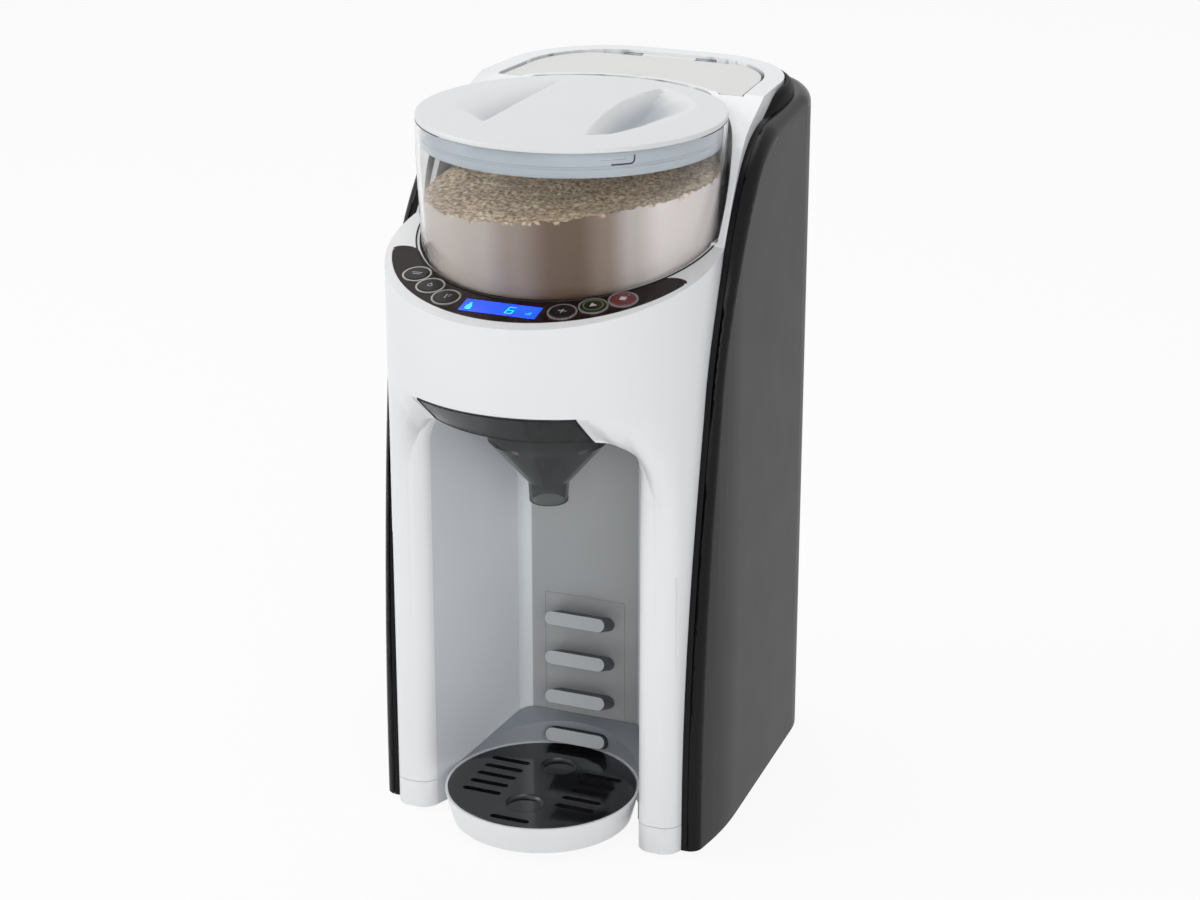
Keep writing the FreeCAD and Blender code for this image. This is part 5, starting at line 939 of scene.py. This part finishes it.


# %% [markdown]
# ## Lid: its finish and painted shade
# Satin white plastic looks cooler and greyer down in a hollow, where less of the room
# reaches it. The lamps give a part of that, and painted shade the rest: the finish reads
# the height of a place and mixes a cool grey into the lid's colour the deeper it lies.
# Only the top's inner faces get this painted shade, so the rim stays plain.

# %% Painted shade in the scoops
# Heights over which the painted shade deepens, and its cool grey.
SHADE_FROM, SHADE_TO, SCOOP_SHADE_GREY = 0.3597, 0.3520, (0.36, 0.39, 0.43)
SCOOP_REACH, SCOOP_LOW = 69.0, 0.3475


def scoop_painted_shade():
    """The lid's satin white with a painted shade: a cooler grey the deeper a place lies in the
    scoops.
    """
    material = plastic("lid_painted_shade", *LID_PLASTIC)
    tree = material.node_tree
    shader = shader_of(material)
    coords = next(n for n in tree.nodes if n.type == "TEX_COORD").outputs["Object"]
    height = tree.nodes.new("ShaderNodeSeparateXYZ")
    tree.links.new(coords, height.inputs[0])
    depth = tree.nodes.new("ShaderNodeMapRange")
    depth.interpolation_type = "SMOOTHSTEP"
    depth.inputs["From Min"].default_value = SHADE_FROM
    depth.inputs["From Max"].default_value = SHADE_TO
    tree.links.new(height.outputs["Z"], depth.inputs["Value"])
    deep = tree.nodes.new("ShaderNodeMix")
    deep.data_type = "RGBA"
    deep.inputs["B"].default_value = (*SCOOP_SHADE_GREY, 1)
    tree.links.new(depth.outputs[0], deep.inputs["Factor"])
    tree.links.new(shader.inputs["Base Color"].links[0].from_socket, deep.inputs["A"])
    tree.links.new(deep.outputs["Result"], shader.inputs["Base Color"])
    return material


finished(lid, [lid_white, scoop_painted_shade()], "lid", "white_shell", "container_lid")
# Faces of the top inside the scoops get the painted shade.
for face in lid.data.polygons:
    x, y = face.center.x / MM, (face.center.y - AXIS_Y) / MM
    if face.normal.z > 0.0 and math.hypot(x, y) < SCOOP_REACH and face.center.z > SCOOP_LOW:
        face.material_index = 1
print("faces with the scoops' finish", sum(f.material_index for f in lid.data.polygons))

# %% [markdown]
# ## Seal
# Inside the tub's rim sits a pale blue sealing band with a step half way down. It is soft
# plastic, so its edges are slightly rounded. Its closed section is spun round the axis,
# which gives the wall, the step and the lips in one go.

# %% Seal band
SEAL_SECTION = [(0.0703, 0.3460), (0.0718, 0.3453), (0.0723, 0.3459), (0.0723, 0.3491),
                (0.0717, 0.3496), (0.0717, 0.3503), (0.0724, 0.3508), (0.0724, 0.3568),
                (0.0721, 0.3571), (0.0719, 0.3571), (0.0719, 0.3505), (0.0703, 0.3500),
                (0.0703, 0.3460)]
seal = lathe("seal_band", SEAL_SECTION, steps=160)
smooth(seal, 50)
finished(seal, [seal_blue], "seal", "seal_grey", "lid_seal")


# %% [markdown]
# ## Bayonet mark
# A short bent groove in the seal is the bayonet that the lid turns into. Seen through the
# clear tub it reads as a thin dark line, so a strip laid on the band stands for it. A
# curve with a round bevel follows its points and is then made a mesh. The same helper
# serves every other thin strip on the machine.

# %% Thin strips
def tube(name, points, width):
    """A thin round strip along points."""
    line = bpy.data.curves.new(name, "CURVE")
    line.dimensions = "3D"
    spline = line.splines.new("POLY")
    spline.points.add(len(points) - 1)
    for point, place in zip(spline.points, points):
        point.co = (*place, 1)
    line.bevel_depth = width / 2
    line.bevel_resolution = 2
    line.use_fill_caps = True
    item = bpy.data.objects.new(name, line)
    bpy.context.collection.objects.link(item)
    pick(item)
    bpy.ops.object.convert(target="MESH")
    return settle(bpy.context.object, name)


def round_tub(angle, radius, z):
    """A place round the container's axis, by its angle from the front in degrees."""
    turn = math.radians(angle)
    return radius * math.sin(turn), AXIS_Y - radius * math.cos(turn), z


print("right side of the tub in mm", round(round_tub(90, 0.075, 0.0)[0] / MM, 1))

# %% Mark on the seal
MARK_RADIUS, MARK_WIDTH = 0.07242, 0.0007
MARK_LINE = [(37.5, 0.3512), (39.5, 0.3512), (41.5, 0.3512), (43.5, 0.3512), (45.0, 0.3512),
             (45.9, 0.3516), (46.3, 0.3524), (46.5, 0.3536), (46.5, 0.3552)]
mark = tube("bayonet_mark", [round_tub(a, MARK_RADIUS, z) for a, z in MARK_LINE], MARK_WIDTH)
smooth(mark)
finished(mark, [trim_black], "seal", "seal_grey")

# %% [markdown]
# ## Milk powder: its shape
# The tub is well over half full. Against the wall the powder is packed smooth. Its top is
# a loose crust of crumbs a few millimetres across, which lies higher to the right.
# Thousands of separate crumbs would be heavy and would never quite touch. The top is a
# spun disc with a fine mesh instead, and its points are raised by noise at the size of
# crumbs.

# %% Height of the crust
POWDER_LEVEL, LEAN_RIGHT, LEAN_BACK = 0.3265, 0.085, 0.045


def powder_top(x, y):
    """Height of the loose surface: it leans to the right and back, with crumbs."""
    lean = POWDER_LEVEL + LEAN_RIGHT * x + LEAN_BACK * (y - AXIS_Y)
    spot = Vector((x, y, 0.0)) / MM
    crumbs = noise.noise(spot / 2.6) * 0.95 + noise.noise(spot / 1.3 + Vector((40, 7, 3))) * 0.6
    waves = noise.noise(spot / 15.0 + Vector((3, 9, 1))) * 1.7
    return lean + (crumbs + waves) * MM


print("crust height in mm, left and right",
      [round(powder_top(x, AXIS_Y) / MM, 1) for x in (-0.06, 0.06)])

# %% Powder body
POWDER_LOW, WALL_FROM, WALL_HEIGHT, WALL_RINGS = 0.2803, 0.3003, 0.0247, 12
CRUST_FROM, CRUST_START, CRUST_RINGS, CRUST_STEPS = 0.3249, 0.328, 86, 300
LIP = 0.0004
base = [(0.0, POWDER_LOW), (0.030, POWDER_LOW), (0.0695, POWDER_LOW), (0.0700, 0.2903),
        (0.0712, WALL_FROM)]
rise = [(0.0712 + 0.0005 * i / WALL_RINGS, WALL_FROM + WALL_HEIGHT * i / WALL_RINGS)
        for i in range(1, WALL_RINGS + 1)]
surface = [(0.0714 * i / CRUST_RINGS, CRUST_START) for i in range(CRUST_RINGS, 0, -1)]
powder = lathe("powder", base + rise + surface + [(0.0, CRUST_START)], steps=CRUST_STEPS)
for point in powder.data.vertices:
    if point.co.z > WALL_FROM + 0.0001:
        top = powder_top(point.co.x, point.co.y)
        if point.co.z > CRUST_FROM:
            point.co.z = top
        else:
            share = (point.co.z - WALL_FROM) / WALL_HEIGHT
            point.co.z = WALL_FROM + share * (top - LIP - WALL_FROM)
smooth(powder, 70)
print("powder points", len(powder.data.vertices))


# %% [markdown]
# ## Milk powder: its finish and painted light
# Behind the clear wall the powder shows light and dark brown bands from side to side, which
# are painted reflection and shade. The open crust is sandy with golden hollows. Two
# materials would meet in a hard line at the edge. One material with both colourings is
# softer: a ramp of painted reflection and shade across the tub for the wall, a ramp over
# fine noise for the crust, and the way a face looks decides how much of each shows.

# %% Painted reflection and shade across the wall
WALL_LIGHT_STOPS = [(0.0, (0.40, 0.35, 0.31)), (0.22, (0.56, 0.50, 0.45)),
              (0.38, (0.47, 0.42, 0.38)), (0.50, (0.29, 0.235, 0.20)),
              (0.64, (0.135, 0.085, 0.055)), (0.71, (0.125, 0.078, 0.049)),
              (0.79, (0.23, 0.17, 0.13)), (0.86, (0.46, 0.42, 0.39)),
              (0.93, (0.72, 0.665, 0.645)), (1.0, (0.70, 0.645, 0.62))]
TUB_HALF = 0.072


def wall_painted_light(tree, coords):
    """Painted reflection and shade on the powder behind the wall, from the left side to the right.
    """
    parts = tree.nodes.new("ShaderNodeSeparateXYZ")
    tree.links.new(coords, parts.inputs[0])
    span = tree.nodes.new("ShaderNodeMapRange")
    span.inputs["From Min"].default_value = -TUB_HALF
    span.inputs["From Max"].default_value = TUB_HALF
    tree.links.new(parts.outputs["X"], span.inputs["Value"])
    ramp = tree.nodes.new("ShaderNodeValToRGB")
    ramp.color_ramp.interpolation = "EASE"
    while len(ramp.color_ramp.elements) < len(WALL_LIGHT_STOPS):
        ramp.color_ramp.elements.new(0.5)
    for element, (place, colour) in zip(ramp.color_ramp.elements, WALL_LIGHT_STOPS):
        element.position = place
        element.color = (*colour, 1)
    tree.links.new(span.outputs[0], ramp.inputs[0])
    return ramp.outputs[0]


print("stops across the wall", len(WALL_LIGHT_STOPS))

# %% Colours of the crust
CRUST_STOPS = [(0.36, (0.34, 0.19, 0.07)), (0.62, (0.97, 0.84, 0.61))]
# The crust takes a share of the wall's painted reflection and shade.
CRUMB_SCALE, WALL_LIGHT_SHARE = 460.0, 0.30


def crust_colour(tree, coords, wall):
    """Sandy crumbs with golden hollows, tinted a little by the wall's painted reflection and
    shade.
    """
    crumb = noise_node(tree, CRUMB_SCALE, 4.0, coords)
    ramp = tree.nodes.new("ShaderNodeValToRGB")
    for element, (place, colour) in zip(ramp.color_ramp.elements, CRUST_STOPS):
        element.position = place
        element.color = (*colour, 1)
    tree.links.new(crumb.outputs["Fac"], ramp.inputs[0])
    tinted = tree.nodes.new("ShaderNodeMix")
    tinted.data_type = "RGBA"
    tinted.inputs["Factor"].default_value = WALL_LIGHT_SHARE
    tree.links.new(ramp.outputs[0], tinted.inputs["A"])
    tree.links.new(wall, tinted.inputs["B"])
    return tinted.outputs["Result"]


def facing_up(tree):
    """0 on the wall and 1 on faces that look up."""
    surface_way = tree.nodes.new("ShaderNodeNewGeometry")
    facing = tree.nodes.new("ShaderNodeSeparateXYZ")
    tree.links.new(surface_way.outputs["Normal"], facing.inputs[0])
    up = tree.nodes.new("ShaderNodeMapRange")
    up.inputs["From Min"].default_value = 0.15
    up.inputs["From Max"].default_value = 0.45
    tree.links.new(facing.outputs["Z"], up.inputs["Value"])
    return up.outputs[0]


print("stops of the crust", len(CRUST_STOPS))

# %% Powder finish
GRAIN_SCALE, GRAIN_HEIGHT = 1300.0, 0.0005


def powder_finish():
    """Packed at the wall and loose on top, with fine grains all over."""
    material, tree, shader, coords = blank("milk_powder")
    # The wall's colour is painted reflection and shade.
    wall = wall_painted_light(tree, coords)
    both = tree.nodes.new("ShaderNodeMix")
    both.data_type = "RGBA"
    tree.links.new(facing_up(tree), both.inputs["Factor"])
    tree.links.new(wall, both.inputs["A"])
    tree.links.new(crust_colour(tree, coords, wall), both.inputs["B"])
    tree.links.new(both.outputs["Result"], shader.inputs["Base Color"])
    shader.inputs["Roughness"].default_value = 0.9
    grain = noise_node(tree, GRAIN_SCALE, 3.0, coords)
    bump(tree, shader, grain.outputs["Fac"], 0.12, GRAIN_HEIGHT)
    return material


finished(powder, [powder_finish()], "container", "powder", "powder_fill")

# %% [markdown]
# ## Places on the sloping deck
# The control deck leans back by some twelve degrees. Everything printed or lit on it lies
# on that slope. Each piece could be modelled flat and turned, but it is simpler to think
# in two measures on the deck: across, and up its slope. One function turns those into a
# place in space, and every plate on the deck uses it.

# %% Directions of the deck
DECK_TILT = math.radians(12.4)
DECK_LEVEL = 0.3035
DECK_UP = Vector((0, -math.sin(DECK_TILT), math.cos(DECK_TILT)))
DECK_BACK = Vector((0, math.cos(DECK_TILT), math.sin(DECK_TILT)))


def on_deck(x, along, proud=0.0):
    """A point on the deck from mm across, mm along its slope, and mm proud of it."""
    return Vector((x * MM, AXIS_Y, DECK_LEVEL)) + DECK_BACK * along * MM + DECK_UP * proud * MM


print("front of the deck in mm", [round(v / MM, 1) for v in on_deck(0, -95)])


# %% Thin plates on the deck
def deck_plate(name, outlines, proud, thick):
    """Flat plates on the deck: each outline is a list of (x, along) corners in mm."""
    mesh = bpy.data.meshes.new(name)
    points, faces = [], []
    for outline in outlines:
        faces.append([len(points) + i for i in range(len(outline))])
        points += [on_deck(x, v, proud) for x, v in outline]
    mesh.from_pydata(points, [], faces)
    piece = bpy.data.objects.new(name, mesh)
    bpy.context.collection.objects.link(piece)
    pick(piece)
    bpy.ops.object.mode_set(mode="EDIT")
    bpy.ops.mesh.select_all(action="SELECT")
    bpy.ops.mesh.normals_make_consistent(inside=False)
    bpy.ops.mesh.extrude_region_move(TRANSFORM_OT_translate={"value": DECK_UP * thick * MM})
    bpy.ops.mesh.select_all(action="SELECT")
    bpy.ops.mesh.normals_make_consistent(inside=False)
    bpy.ops.object.mode_set(mode="OBJECT")
    return piece


print("plates are raised along", [round(v, 3) for v in DECK_UP])


# %% Strokes and rounds
def bar(x0, v0, x1, v1, width):
    """The outline of a straight stroke from one place to another."""
    side = Vector((v0 - v1, x1 - x0)).normalized() * width / 2
    return [(x0 + side.x, v0 + side.y), (x0 - side.x, v0 - side.y),
            (x1 - side.x, v1 - side.y), (x1 + side.x, v1 + side.y)]


def round_outline(x, v, radius, count):
    """A round dot's outline."""
    return [(x + radius * math.cos(2 * math.pi * i / count),
             v + radius * math.sin(2 * math.pi * i / count)) for i in range(count)]


def loop_of_bars(x, v, radius, width, count):
    """A ring made of short strokes."""
    spots = round_outline(x, v, radius, count)
    return [bar(*a, *b, width) for a, b in zip(spots, spots[1:] + spots[:1])]


def shifted(outlines, x, v):
    """The same outlines, moved to another centre."""
    return [[(x + a, v + b) for a, b in outline] for outline in outlines]


print("corners of a stroke", len(bar(0, 0, 1, 0, 0.4)))

# %% [markdown]
# ## Display
# The display is a blue lit window with one pale digit and two signs: a bottle and a bar
# scale. A picture on the window would blur close up. Thin plates stay sharp at any
# distance. The glow comes from the shader's own emission, kept low, because a stronger one
# would wash the blue out to white.

# %% Glow finishes
def glowing(name, colour, shade, strength):
    """A lit surface whose brightness drifts a little across it."""
    material, tree, shader, coords = blank(name)
    drift = noise_node(tree, 45.0, 1.0, coords)
    source = mixed(tree, drift.outputs["Fac"], colour, shade)
    tree.links.new(source, shader.inputs["Emission Color"])
    tree.links.new(source, shader.inputs["Base Color"])
    shader.inputs["Emission Strength"].default_value = strength
    shader.inputs["Roughness"].default_value = 0.15
    return material


display_glow = glowing("display_glow", (0.004, 0.035, 0.90), (0.012, 0.10, 1.0), 0.85)
digit_glow = glowing("digit_glow", (0.005, 0.62, 0.85), (0.01, 0.68, 0.92), 1.0)
print("glows", display_glow.name, digit_glow.name)

# %% Lit window
WINDOW = [(-19.3, -91.7), (19.3, -91.7), (19.3, -80.9), (-19.3, -80.9)]
lit = deck_plate("display_screen", [WINDOW], -0.03, 0.06)
finished(lit, [display_glow], "machine", "display_blue")

# %% Digit
DIGIT_LEAN = 0.12
SEGMENTS = {"a": ((-1, 1), (1, 1)), "b": ((1, 1), (1, 0)), "c": ((1, 0), (1, -1)),
            "d": ((-1, -1), (1, -1)), "e": ((-1, 0), (-1, -1)), "f": ((-1, 1), (-1, 0)),
            "g": ((-1, 0), (1, 0))}


def seven_segment(x, v, width, height, stroke, on):
    """Slanted segments of one digit, named a to g."""
    def spot(i, j):
        return x + i * width / 2 + j * height / 2 * DIGIT_LEAN, v + j * height / 2
    return [bar(*spot(*SEGMENTS[s][0]), *spot(*SEGMENTS[s][1]), stroke) for s in on]


signs = seven_segment(5.2, -86.6, 3.3, 5.6, 0.6, "acdefg")
print("segments lit", len(signs))

# %% Bottle and bar scale
BOTTLE = [(-17.0, -89.9), (-14.2, -89.9), (-14.2, -86.6), (-14.9, -85.7), (-14.9, -84.9),
          (-16.3, -84.9), (-16.3, -85.7), (-17.0, -86.6)]
signs += [BOTTLE, round_outline(-15.6, -84.3, 0.55, 14)]
signs += [bar(13.6, -88.6, 13.6, -87.4, 0.4), bar(14.6, -88.6, 14.6, -86.8, 0.4),
          bar(15.6, -88.6, 15.6, -86.2, 0.4)]
digit = deck_plate("display_signs", signs, 0.031, 0.02)
finished(digit, [digit_glow], "machine", "display_blue")

# %% [markdown]
# ## Keys and their signs
# Six round keys sit in two slanting rows beside the display. Each cap is the CAD solid,
# copied so that its round side shades smoothly. Plain printed signs tell the keys apart:
# strokes, a ring, a plus, a triangle to start and a square to stop. They are drawn once
# about a centre and then moved to their key. They ride on the key's own body, so that
# they go down with it.

# %% Signs
KEYS = {"left_outer": (-52.7, -65.0), "left_middle": (-41.5, -74.1),
        "left_inner": (-29.5, -82.6), "right_inner": (29.5, -82.6),
        "right_middle": (41.5, -74.1), "right_outer": (52.7, -65.0)}
SIGNS = {
    "left_outer": [bar(-2.6, 0.7, 2.6, 0.7, 0.35), bar(-2.0, -0.7, 2.0, -0.7, 0.35)],
    "left_middle": loop_of_bars(0, -0.3, 1.1, 0.35, 14) + [bar(0, 0.8, 0, 2.0, 0.35)],
    "left_inner": [bar(0, -1.8, 0, 2.0, 0.5), bar(1.1, 1.6, 2.4, 1.6, 0.35),
                   bar(1.1, 0.3, 2.0, 0.3, 0.35)],
    "right_inner": [bar(-2.2, 0, 2.2, 0, 0.4), bar(0, -1.9, 0, 1.9, 0.4)],
    "right_middle": [[(-1.3, -1.8), (2.0, 0), (-1.3, 1.8)]],
    "right_outer": [[(-1.5, -1.5), (1.5, -1.5), (1.5, 1.5), (-1.5, 1.5)]],
}
print("signs", {name: len(outlines) for name, outlines in SIGNS.items()})

# %% Caps with their signs
PRINT_PROUD, PRINT_THICK = 0.88, 0.05
for side, (x, v) in KEYS.items():
    node = "button_" + side
    cap = take([node], "key_" + side)
    flatten(cap, 1.5)
    smooth(cap, 30)
    cap_finish = key_red if side == "right_outer" else button_black
    finished(cap, [cap_finish], node, "button_dark", node)
    sign = deck_plate("sign_" + side, shifted(SIGNS[side], x, v), PRINT_PROUD, PRINT_THICK)
    finished(sign, [key_print], node, "button_dark")

# %% Green ring on the start key
start_ring = loop_of_bars(*KEYS["right_middle"], 4.6, 0.6, 32)
ring = deck_plate("key_green_ring", start_ring, PRINT_PROUD, PRINT_THICK)
finished(ring, [key_green], "button_right_middle", "button_dark")

# %% [markdown]
# ## Dark covers
# Dark satin covers wrap the sides and the back. Along the curve where they meet the white
# shell, their rounded shoulder is polished black, like the trim strip beside it. Cutting
# the shoulder off as a piece of its own would leave a seam. A mesh can carry several
# finishes, so the shoulder's faces are told from the side by their normals and get the
# black one.

# %% Side covers
SHOULDER = 1


def shoulder_faces(piece):
    """Gives the rounded shoulder along the front and top edge the second finish."""
    count = 0
    for face in piece.data.polygons:
        n = face.normal
        if abs(n.x) < 0.995 and (n.y < -0.06 or n.z > 0.06):
            face.material_index = SHOULDER
            count += 1
    return count


for node in ("side_cover_left", "side_cover_right"):
    cover = take([node], node + "_shell")
    flatten(cover, 0.8)
    smooth(cover, 40, True)
    finished(cover, [cover_dark, trim_black], "machine", "dark_cover", node)
    print("shoulder faces", shoulder_faces(cover))

# %% Rear cover
back = take(["rear_cover"], "rear_cover_shell")
flatten(back, 0.8)
soften(back, 0.0006, 50, 2)
finished(back, [cover_dark, trim_black], "machine", "dark_cover", "rear_cover")
print("shoulder faces", shoulder_faces(back))

# %% [markdown]
# ## Bottle cavity: its lining
# The lining is one pale grey moulding round the place where the bottle stands. Its sides
# catch light from the front, its back wall lies in shade, and the edge beside the left pillar
# gleams. The lamps alone make too little of that in so deep a hollow, so it is painted in:
# each group of faces is found by the way it looks; the back wall gets a darker grey as
# painted shade, and the edge a paler grey as a painted highlight.

# %% Lining
BACK_SHADE_INDEX, EDGE_HIGHLIGHT_INDEX = 1, 2
lining = take(["cavity_liner"], "cavity_lining")
flatten(lining, 0.8)
smooth(lining, 40, True)
finished(lining, [liner_side, liner_back_shade, liner_edge_highlight], "machine", "liner_grey", "cavity_liner")
# Back wall faces get the painted shade, left edge faces the painted highlight.
for face in lining.data.polygons:
    n = face.normal
    if n.y < -0.97 or n.z < -0.8:
        face.material_index = BACK_SHADE_INDEX
    elif n.y < -0.45 and face.center.x < 0:
        face.material_index = EDGE_HIGHLIGHT_INDEX
print("faces of back and edge",
      [sum(f.material_index == i for f in lining.data.polygons) for i in (BACK_SHADE_INDEX, EDGE_HIGHLIGHT_INDEX)])

# %% [markdown]
# ## Bottle cavity: its rungs
# A panel with rungs stands behind the bottle. Each rung gets a pale grey on its front face as
# painted light and a nearly black one on its sides as painted shade, so that it stands out
# from the grey panel. A bevel rounds the edges by nearly a millimetre. The front faces are
# those that look along one slanted direction; all others in front of the panel's plane are
# the sides with the painted shade.

# %% Rungs
LIT_FACE_INDEX, SHADED_SIDE_INDEX = 1, 2
RUNG_TILT, PANEL_FRONT = math.radians(20), -0.0095
RUNG_AXIS = Vector((0, -math.cos(RUNG_TILT), math.sin(RUNG_TILT)))
rungs = take(["rung_panel"], "rungs")
flatten(rungs, 0.8)
soften(rungs, 0.0009, 50, 3)
finished(rungs, [liner_back_shade, rung_face_lit, rung_side_shaded], "machine", "liner_grey", "rung_panel")
# Front faces get the painted light, sides in front of the panel the painted shade.
for face in rungs.data.polygons:
    if face.center.y < PANEL_FRONT:
        in_front = face.normal.dot(RUNG_AXIS) > 0.75
        face.material_index = LIT_FACE_INDEX if in_front else SHADED_SIDE_INDEX
print("pale faces", sum(f.material_index == LIT_FACE_INDEX for f in rungs.data.polygons))


# %% [markdown]
# ## Edges of the smoky shield
# Smoky plastic looks black along its cut edges, because light runs far inside the wall
# there. Following that light exactly would take many bounces and still be noisy. A thin
# dark strip along each edge shows the same thing at once. The strips ride on the drawer,
# as the shield does.

# %% Strips along the shield
SHIELD_TOP, SHIELD_LOW, STRIP_PROUD, STRIP_STEPS = 0.2376, 0.2214, 0.0001, 14


def shield_line(half, z):
    """Places along the slanted front, from left to right, at one height."""
    spots = [half * i / STRIP_STEPS for i in range(-STRIP_STEPS, STRIP_STEPS + 1)]
    return [(x, slant_front(x, z) - STRIP_PROUD, z) for x in spots]


top_line = shield_line(0.0404, SHIELD_TOP)
low_line = shield_line(0.0401, SHIELD_LOW)
for name, points, width in (
        ("shield_top_line", top_line, 0.0005), ("shield_low_line", low_line, 0.0003),
        ("shield_left_line", [top_line[0], low_line[0]], 0.0008),
        ("shield_right_line", [top_line[-1], low_line[-1]], 0.0008)):
    strip = tube(name, points, width)
    smooth(strip)
    finished(strip, [trim_black], "drawer", "smoky")

# %% [markdown]
# ## Painted shadow round the tub
# Where the powder tub goes into the deck, the narrow gap between them lies in shadow, and a
# thin dark ring is laid in it as a painted shadow. Only its front half shows, so only that is
# made. It lies on the slope, where a flat ring would sink into the deck. The strip helper
# takes any line of points, and each point's height follows from the slope.

# %% Painted shadow ring
SHADOW_RING_RADIUS, SHADOW_RING_LEVEL, SHADOW_RING_STEP = 0.0755, 0.3036, 3.1
shadow_ring_line = []
for i in range(-30, 31):
    x, y = round_tub(SHADOW_RING_STEP * i, SHADOW_RING_RADIUS, 0.0)[:2]
    shadow_ring_line.append((x, y, SHADOW_RING_LEVEL + math.tan(DECK_TILT) * (y - AXIS_Y)))
# A thin dark ring as painted shadow in the gap.
shadow_ring = tube("tub_gap_shadow", shadow_ring_line, 0.0009)
smooth(shadow_ring)
finished(shadow_ring, [trim_black], "machine", "rubber_dark")


# %% [markdown]
# ## Bead round the rim
# The black trim wraps round the back of the white rim as a narrow bead. It is highest
# behind the tank and sinks into the covers towards the front. A curve with a round bevel
# would leave it no flat inner wall. The bead's section is drawn once instead, each of its
# corners runs along the rim's plan at its own distance, and neighbouring lines are joined
# by faces.

# %% Plan of the rim
BEAD_RADIUS, BEAD_FRONT = 0.055, 0.030
STRAIGHT_STEPS, TURN_STEP = 6, 5
BEAD_LOW, BEAD_RISE, RISE_FROM, RISE_LENGTH = 0.3478, 0.0108, 0.026, 0.042


def rim_path(offset):
    """Places round the rim's plan from the left side, by the back, to the right side."""
    radius = BEAD_RADIUS + offset
    left = [(-RIM_CORNER_X - radius,
             BEAD_FRONT + (RIM_CORNER_Y - BEAD_FRONT) * i / STRAIGHT_STEPS)
            for i in range(STRAIGHT_STEPS)]
    turn = [(-RIM_CORNER_X - radius * math.cos(math.radians(a)),
             RIM_CORNER_Y + radius * math.sin(math.radians(a)))
            for a in range(0, 91, TURN_STEP)]
    half = left + turn
    return half + [(-x, y) for x, y in reversed(half)]


def bead_top(y):
    """The bead sinks into the cover towards the front."""
    return BEAD_LOW + BEAD_RISE * ease((y - RISE_FROM) / RISE_LENGTH)


print("bead top in mm, front and back", round(bead_top(BEAD_FRONT) / MM, 1),
      round(bead_top(0.12) / MM, 1))

# %% Bead
BEAD_SECTION = [(0.0002, -0.0125), (0.0002, -0.0012), (0.0010, -0.0002), (0.0020, 0.0),
                (0.0032, -0.0008), (0.0043, -0.0024), (0.0050, -0.0048), (0.0053, -0.0080),
                (0.0054, -0.0125)]


def rim_bead():
    """A closed band: inner wall, rounded top and outer wall along the rim's plan."""
    paths = [rim_path(offset) for offset, _ in BEAD_SECTION]
    points, faces = [], []
    for (_, drop), path in zip(BEAD_SECTION, paths):
        points += [(x, y, bead_top(y) + drop) for x, y in path]
    along, count = len(paths[0]), len(BEAD_SECTION)
    for i in range(count):
        for j in range(along - 1):
            k = (i + 1) % count
            faces.append((i * along + j, i * along + j + 1, k * along + j + 1, k * along + j))
    faces.append([i * along for i in range(count)])
    faces.append([i * along + along - 1 for i in reversed(range(count))])
    mesh = bpy.data.meshes.new("rim_bead")
    mesh.from_pydata(points, [], faces)
    piece = bpy.data.objects.new("rim_bead", mesh)
    bpy.context.collection.objects.link(piece)
    pick(piece)
    bpy.ops.object.mode_set(mode="EDIT")
    bpy.ops.mesh.select_all(action="SELECT")
    bpy.ops.mesh.normals_make_consistent(inside=False)
    bpy.ops.object.mode_set(mode="OBJECT")
    return piece


bead = rim_bead()
smooth(bead, 50)
finished(bead, [bead_black], "machine", "black_gloss")

# %% [markdown]
# ## Rounded ends of the control panel
# The gloss panel runs out in a small rounded tongue on either side of the tub. Its outline
# starts from the panel's straight cut, so that the two meet without a notch. A thin plate
# on the deck, as for the display, is enough, since only its top is seen.

# %% Panel ends
PANEL_END = [(61.5, -43.6), (62.3, -42.5), (63.5, -41.4), (65.1, -40.4), (67.0, -39.7),
             (69.1, -39.4), (71.3, -39.5), (73.2, -40.0), (74.7, -40.9), (75.6, -42.1),
             (75.9, -43.6)]
both_ends = [[(side * x, v) for x, v in PANEL_END] for side in (-1, 1)]
ends = deck_plate("panel_ends", both_ends, -0.5, 0.54)
finished(ends, [panel_gloss], "machine", "panel_dark")

# %% [markdown]
# ## Bowls in the drip grid
# Two shallow bowls under the spout gather drops. A pressed bowl could be cut from a ball,
# but its wall would then need a second cut. The profile runs out along the inside and back
# along the underside, so one spin about the bowl's own axis gives a thin closed dish.

# %% Bowls
BOWL_WIDE, BOWL_DEEP, BOWL_WALL, BOWL_LEVEL = 0.0098, 0.0034, 0.0006, 0.0199 + 0.00012
BOWL_STEPS, BOWL_PLACES = 56, (("grid_bowl_front", -0.0874), ("grid_bowl_rear", -0.0433))
inside = [(BOWL_WIDE * math.sin(t), BOWL_LEVEL - BOWL_DEEP * math.cos(t))
          for t in (math.radians(6 * i) for i in range(16))]
underside = [(r, z - BOWL_WALL) for r, z in reversed(inside)]
bowl_profile = [(0.0, inside[0][1])] + inside[1:] + underside[:-1] + [(0.0, underside[-1][1])]
for name, y in BOWL_PLACES:
    dish = lathe(name, bowl_profile, BOWL_STEPS, y)
    smooth(dish, 50)
    finished(dish, [bowl_finish], "grid", "black_gloss")
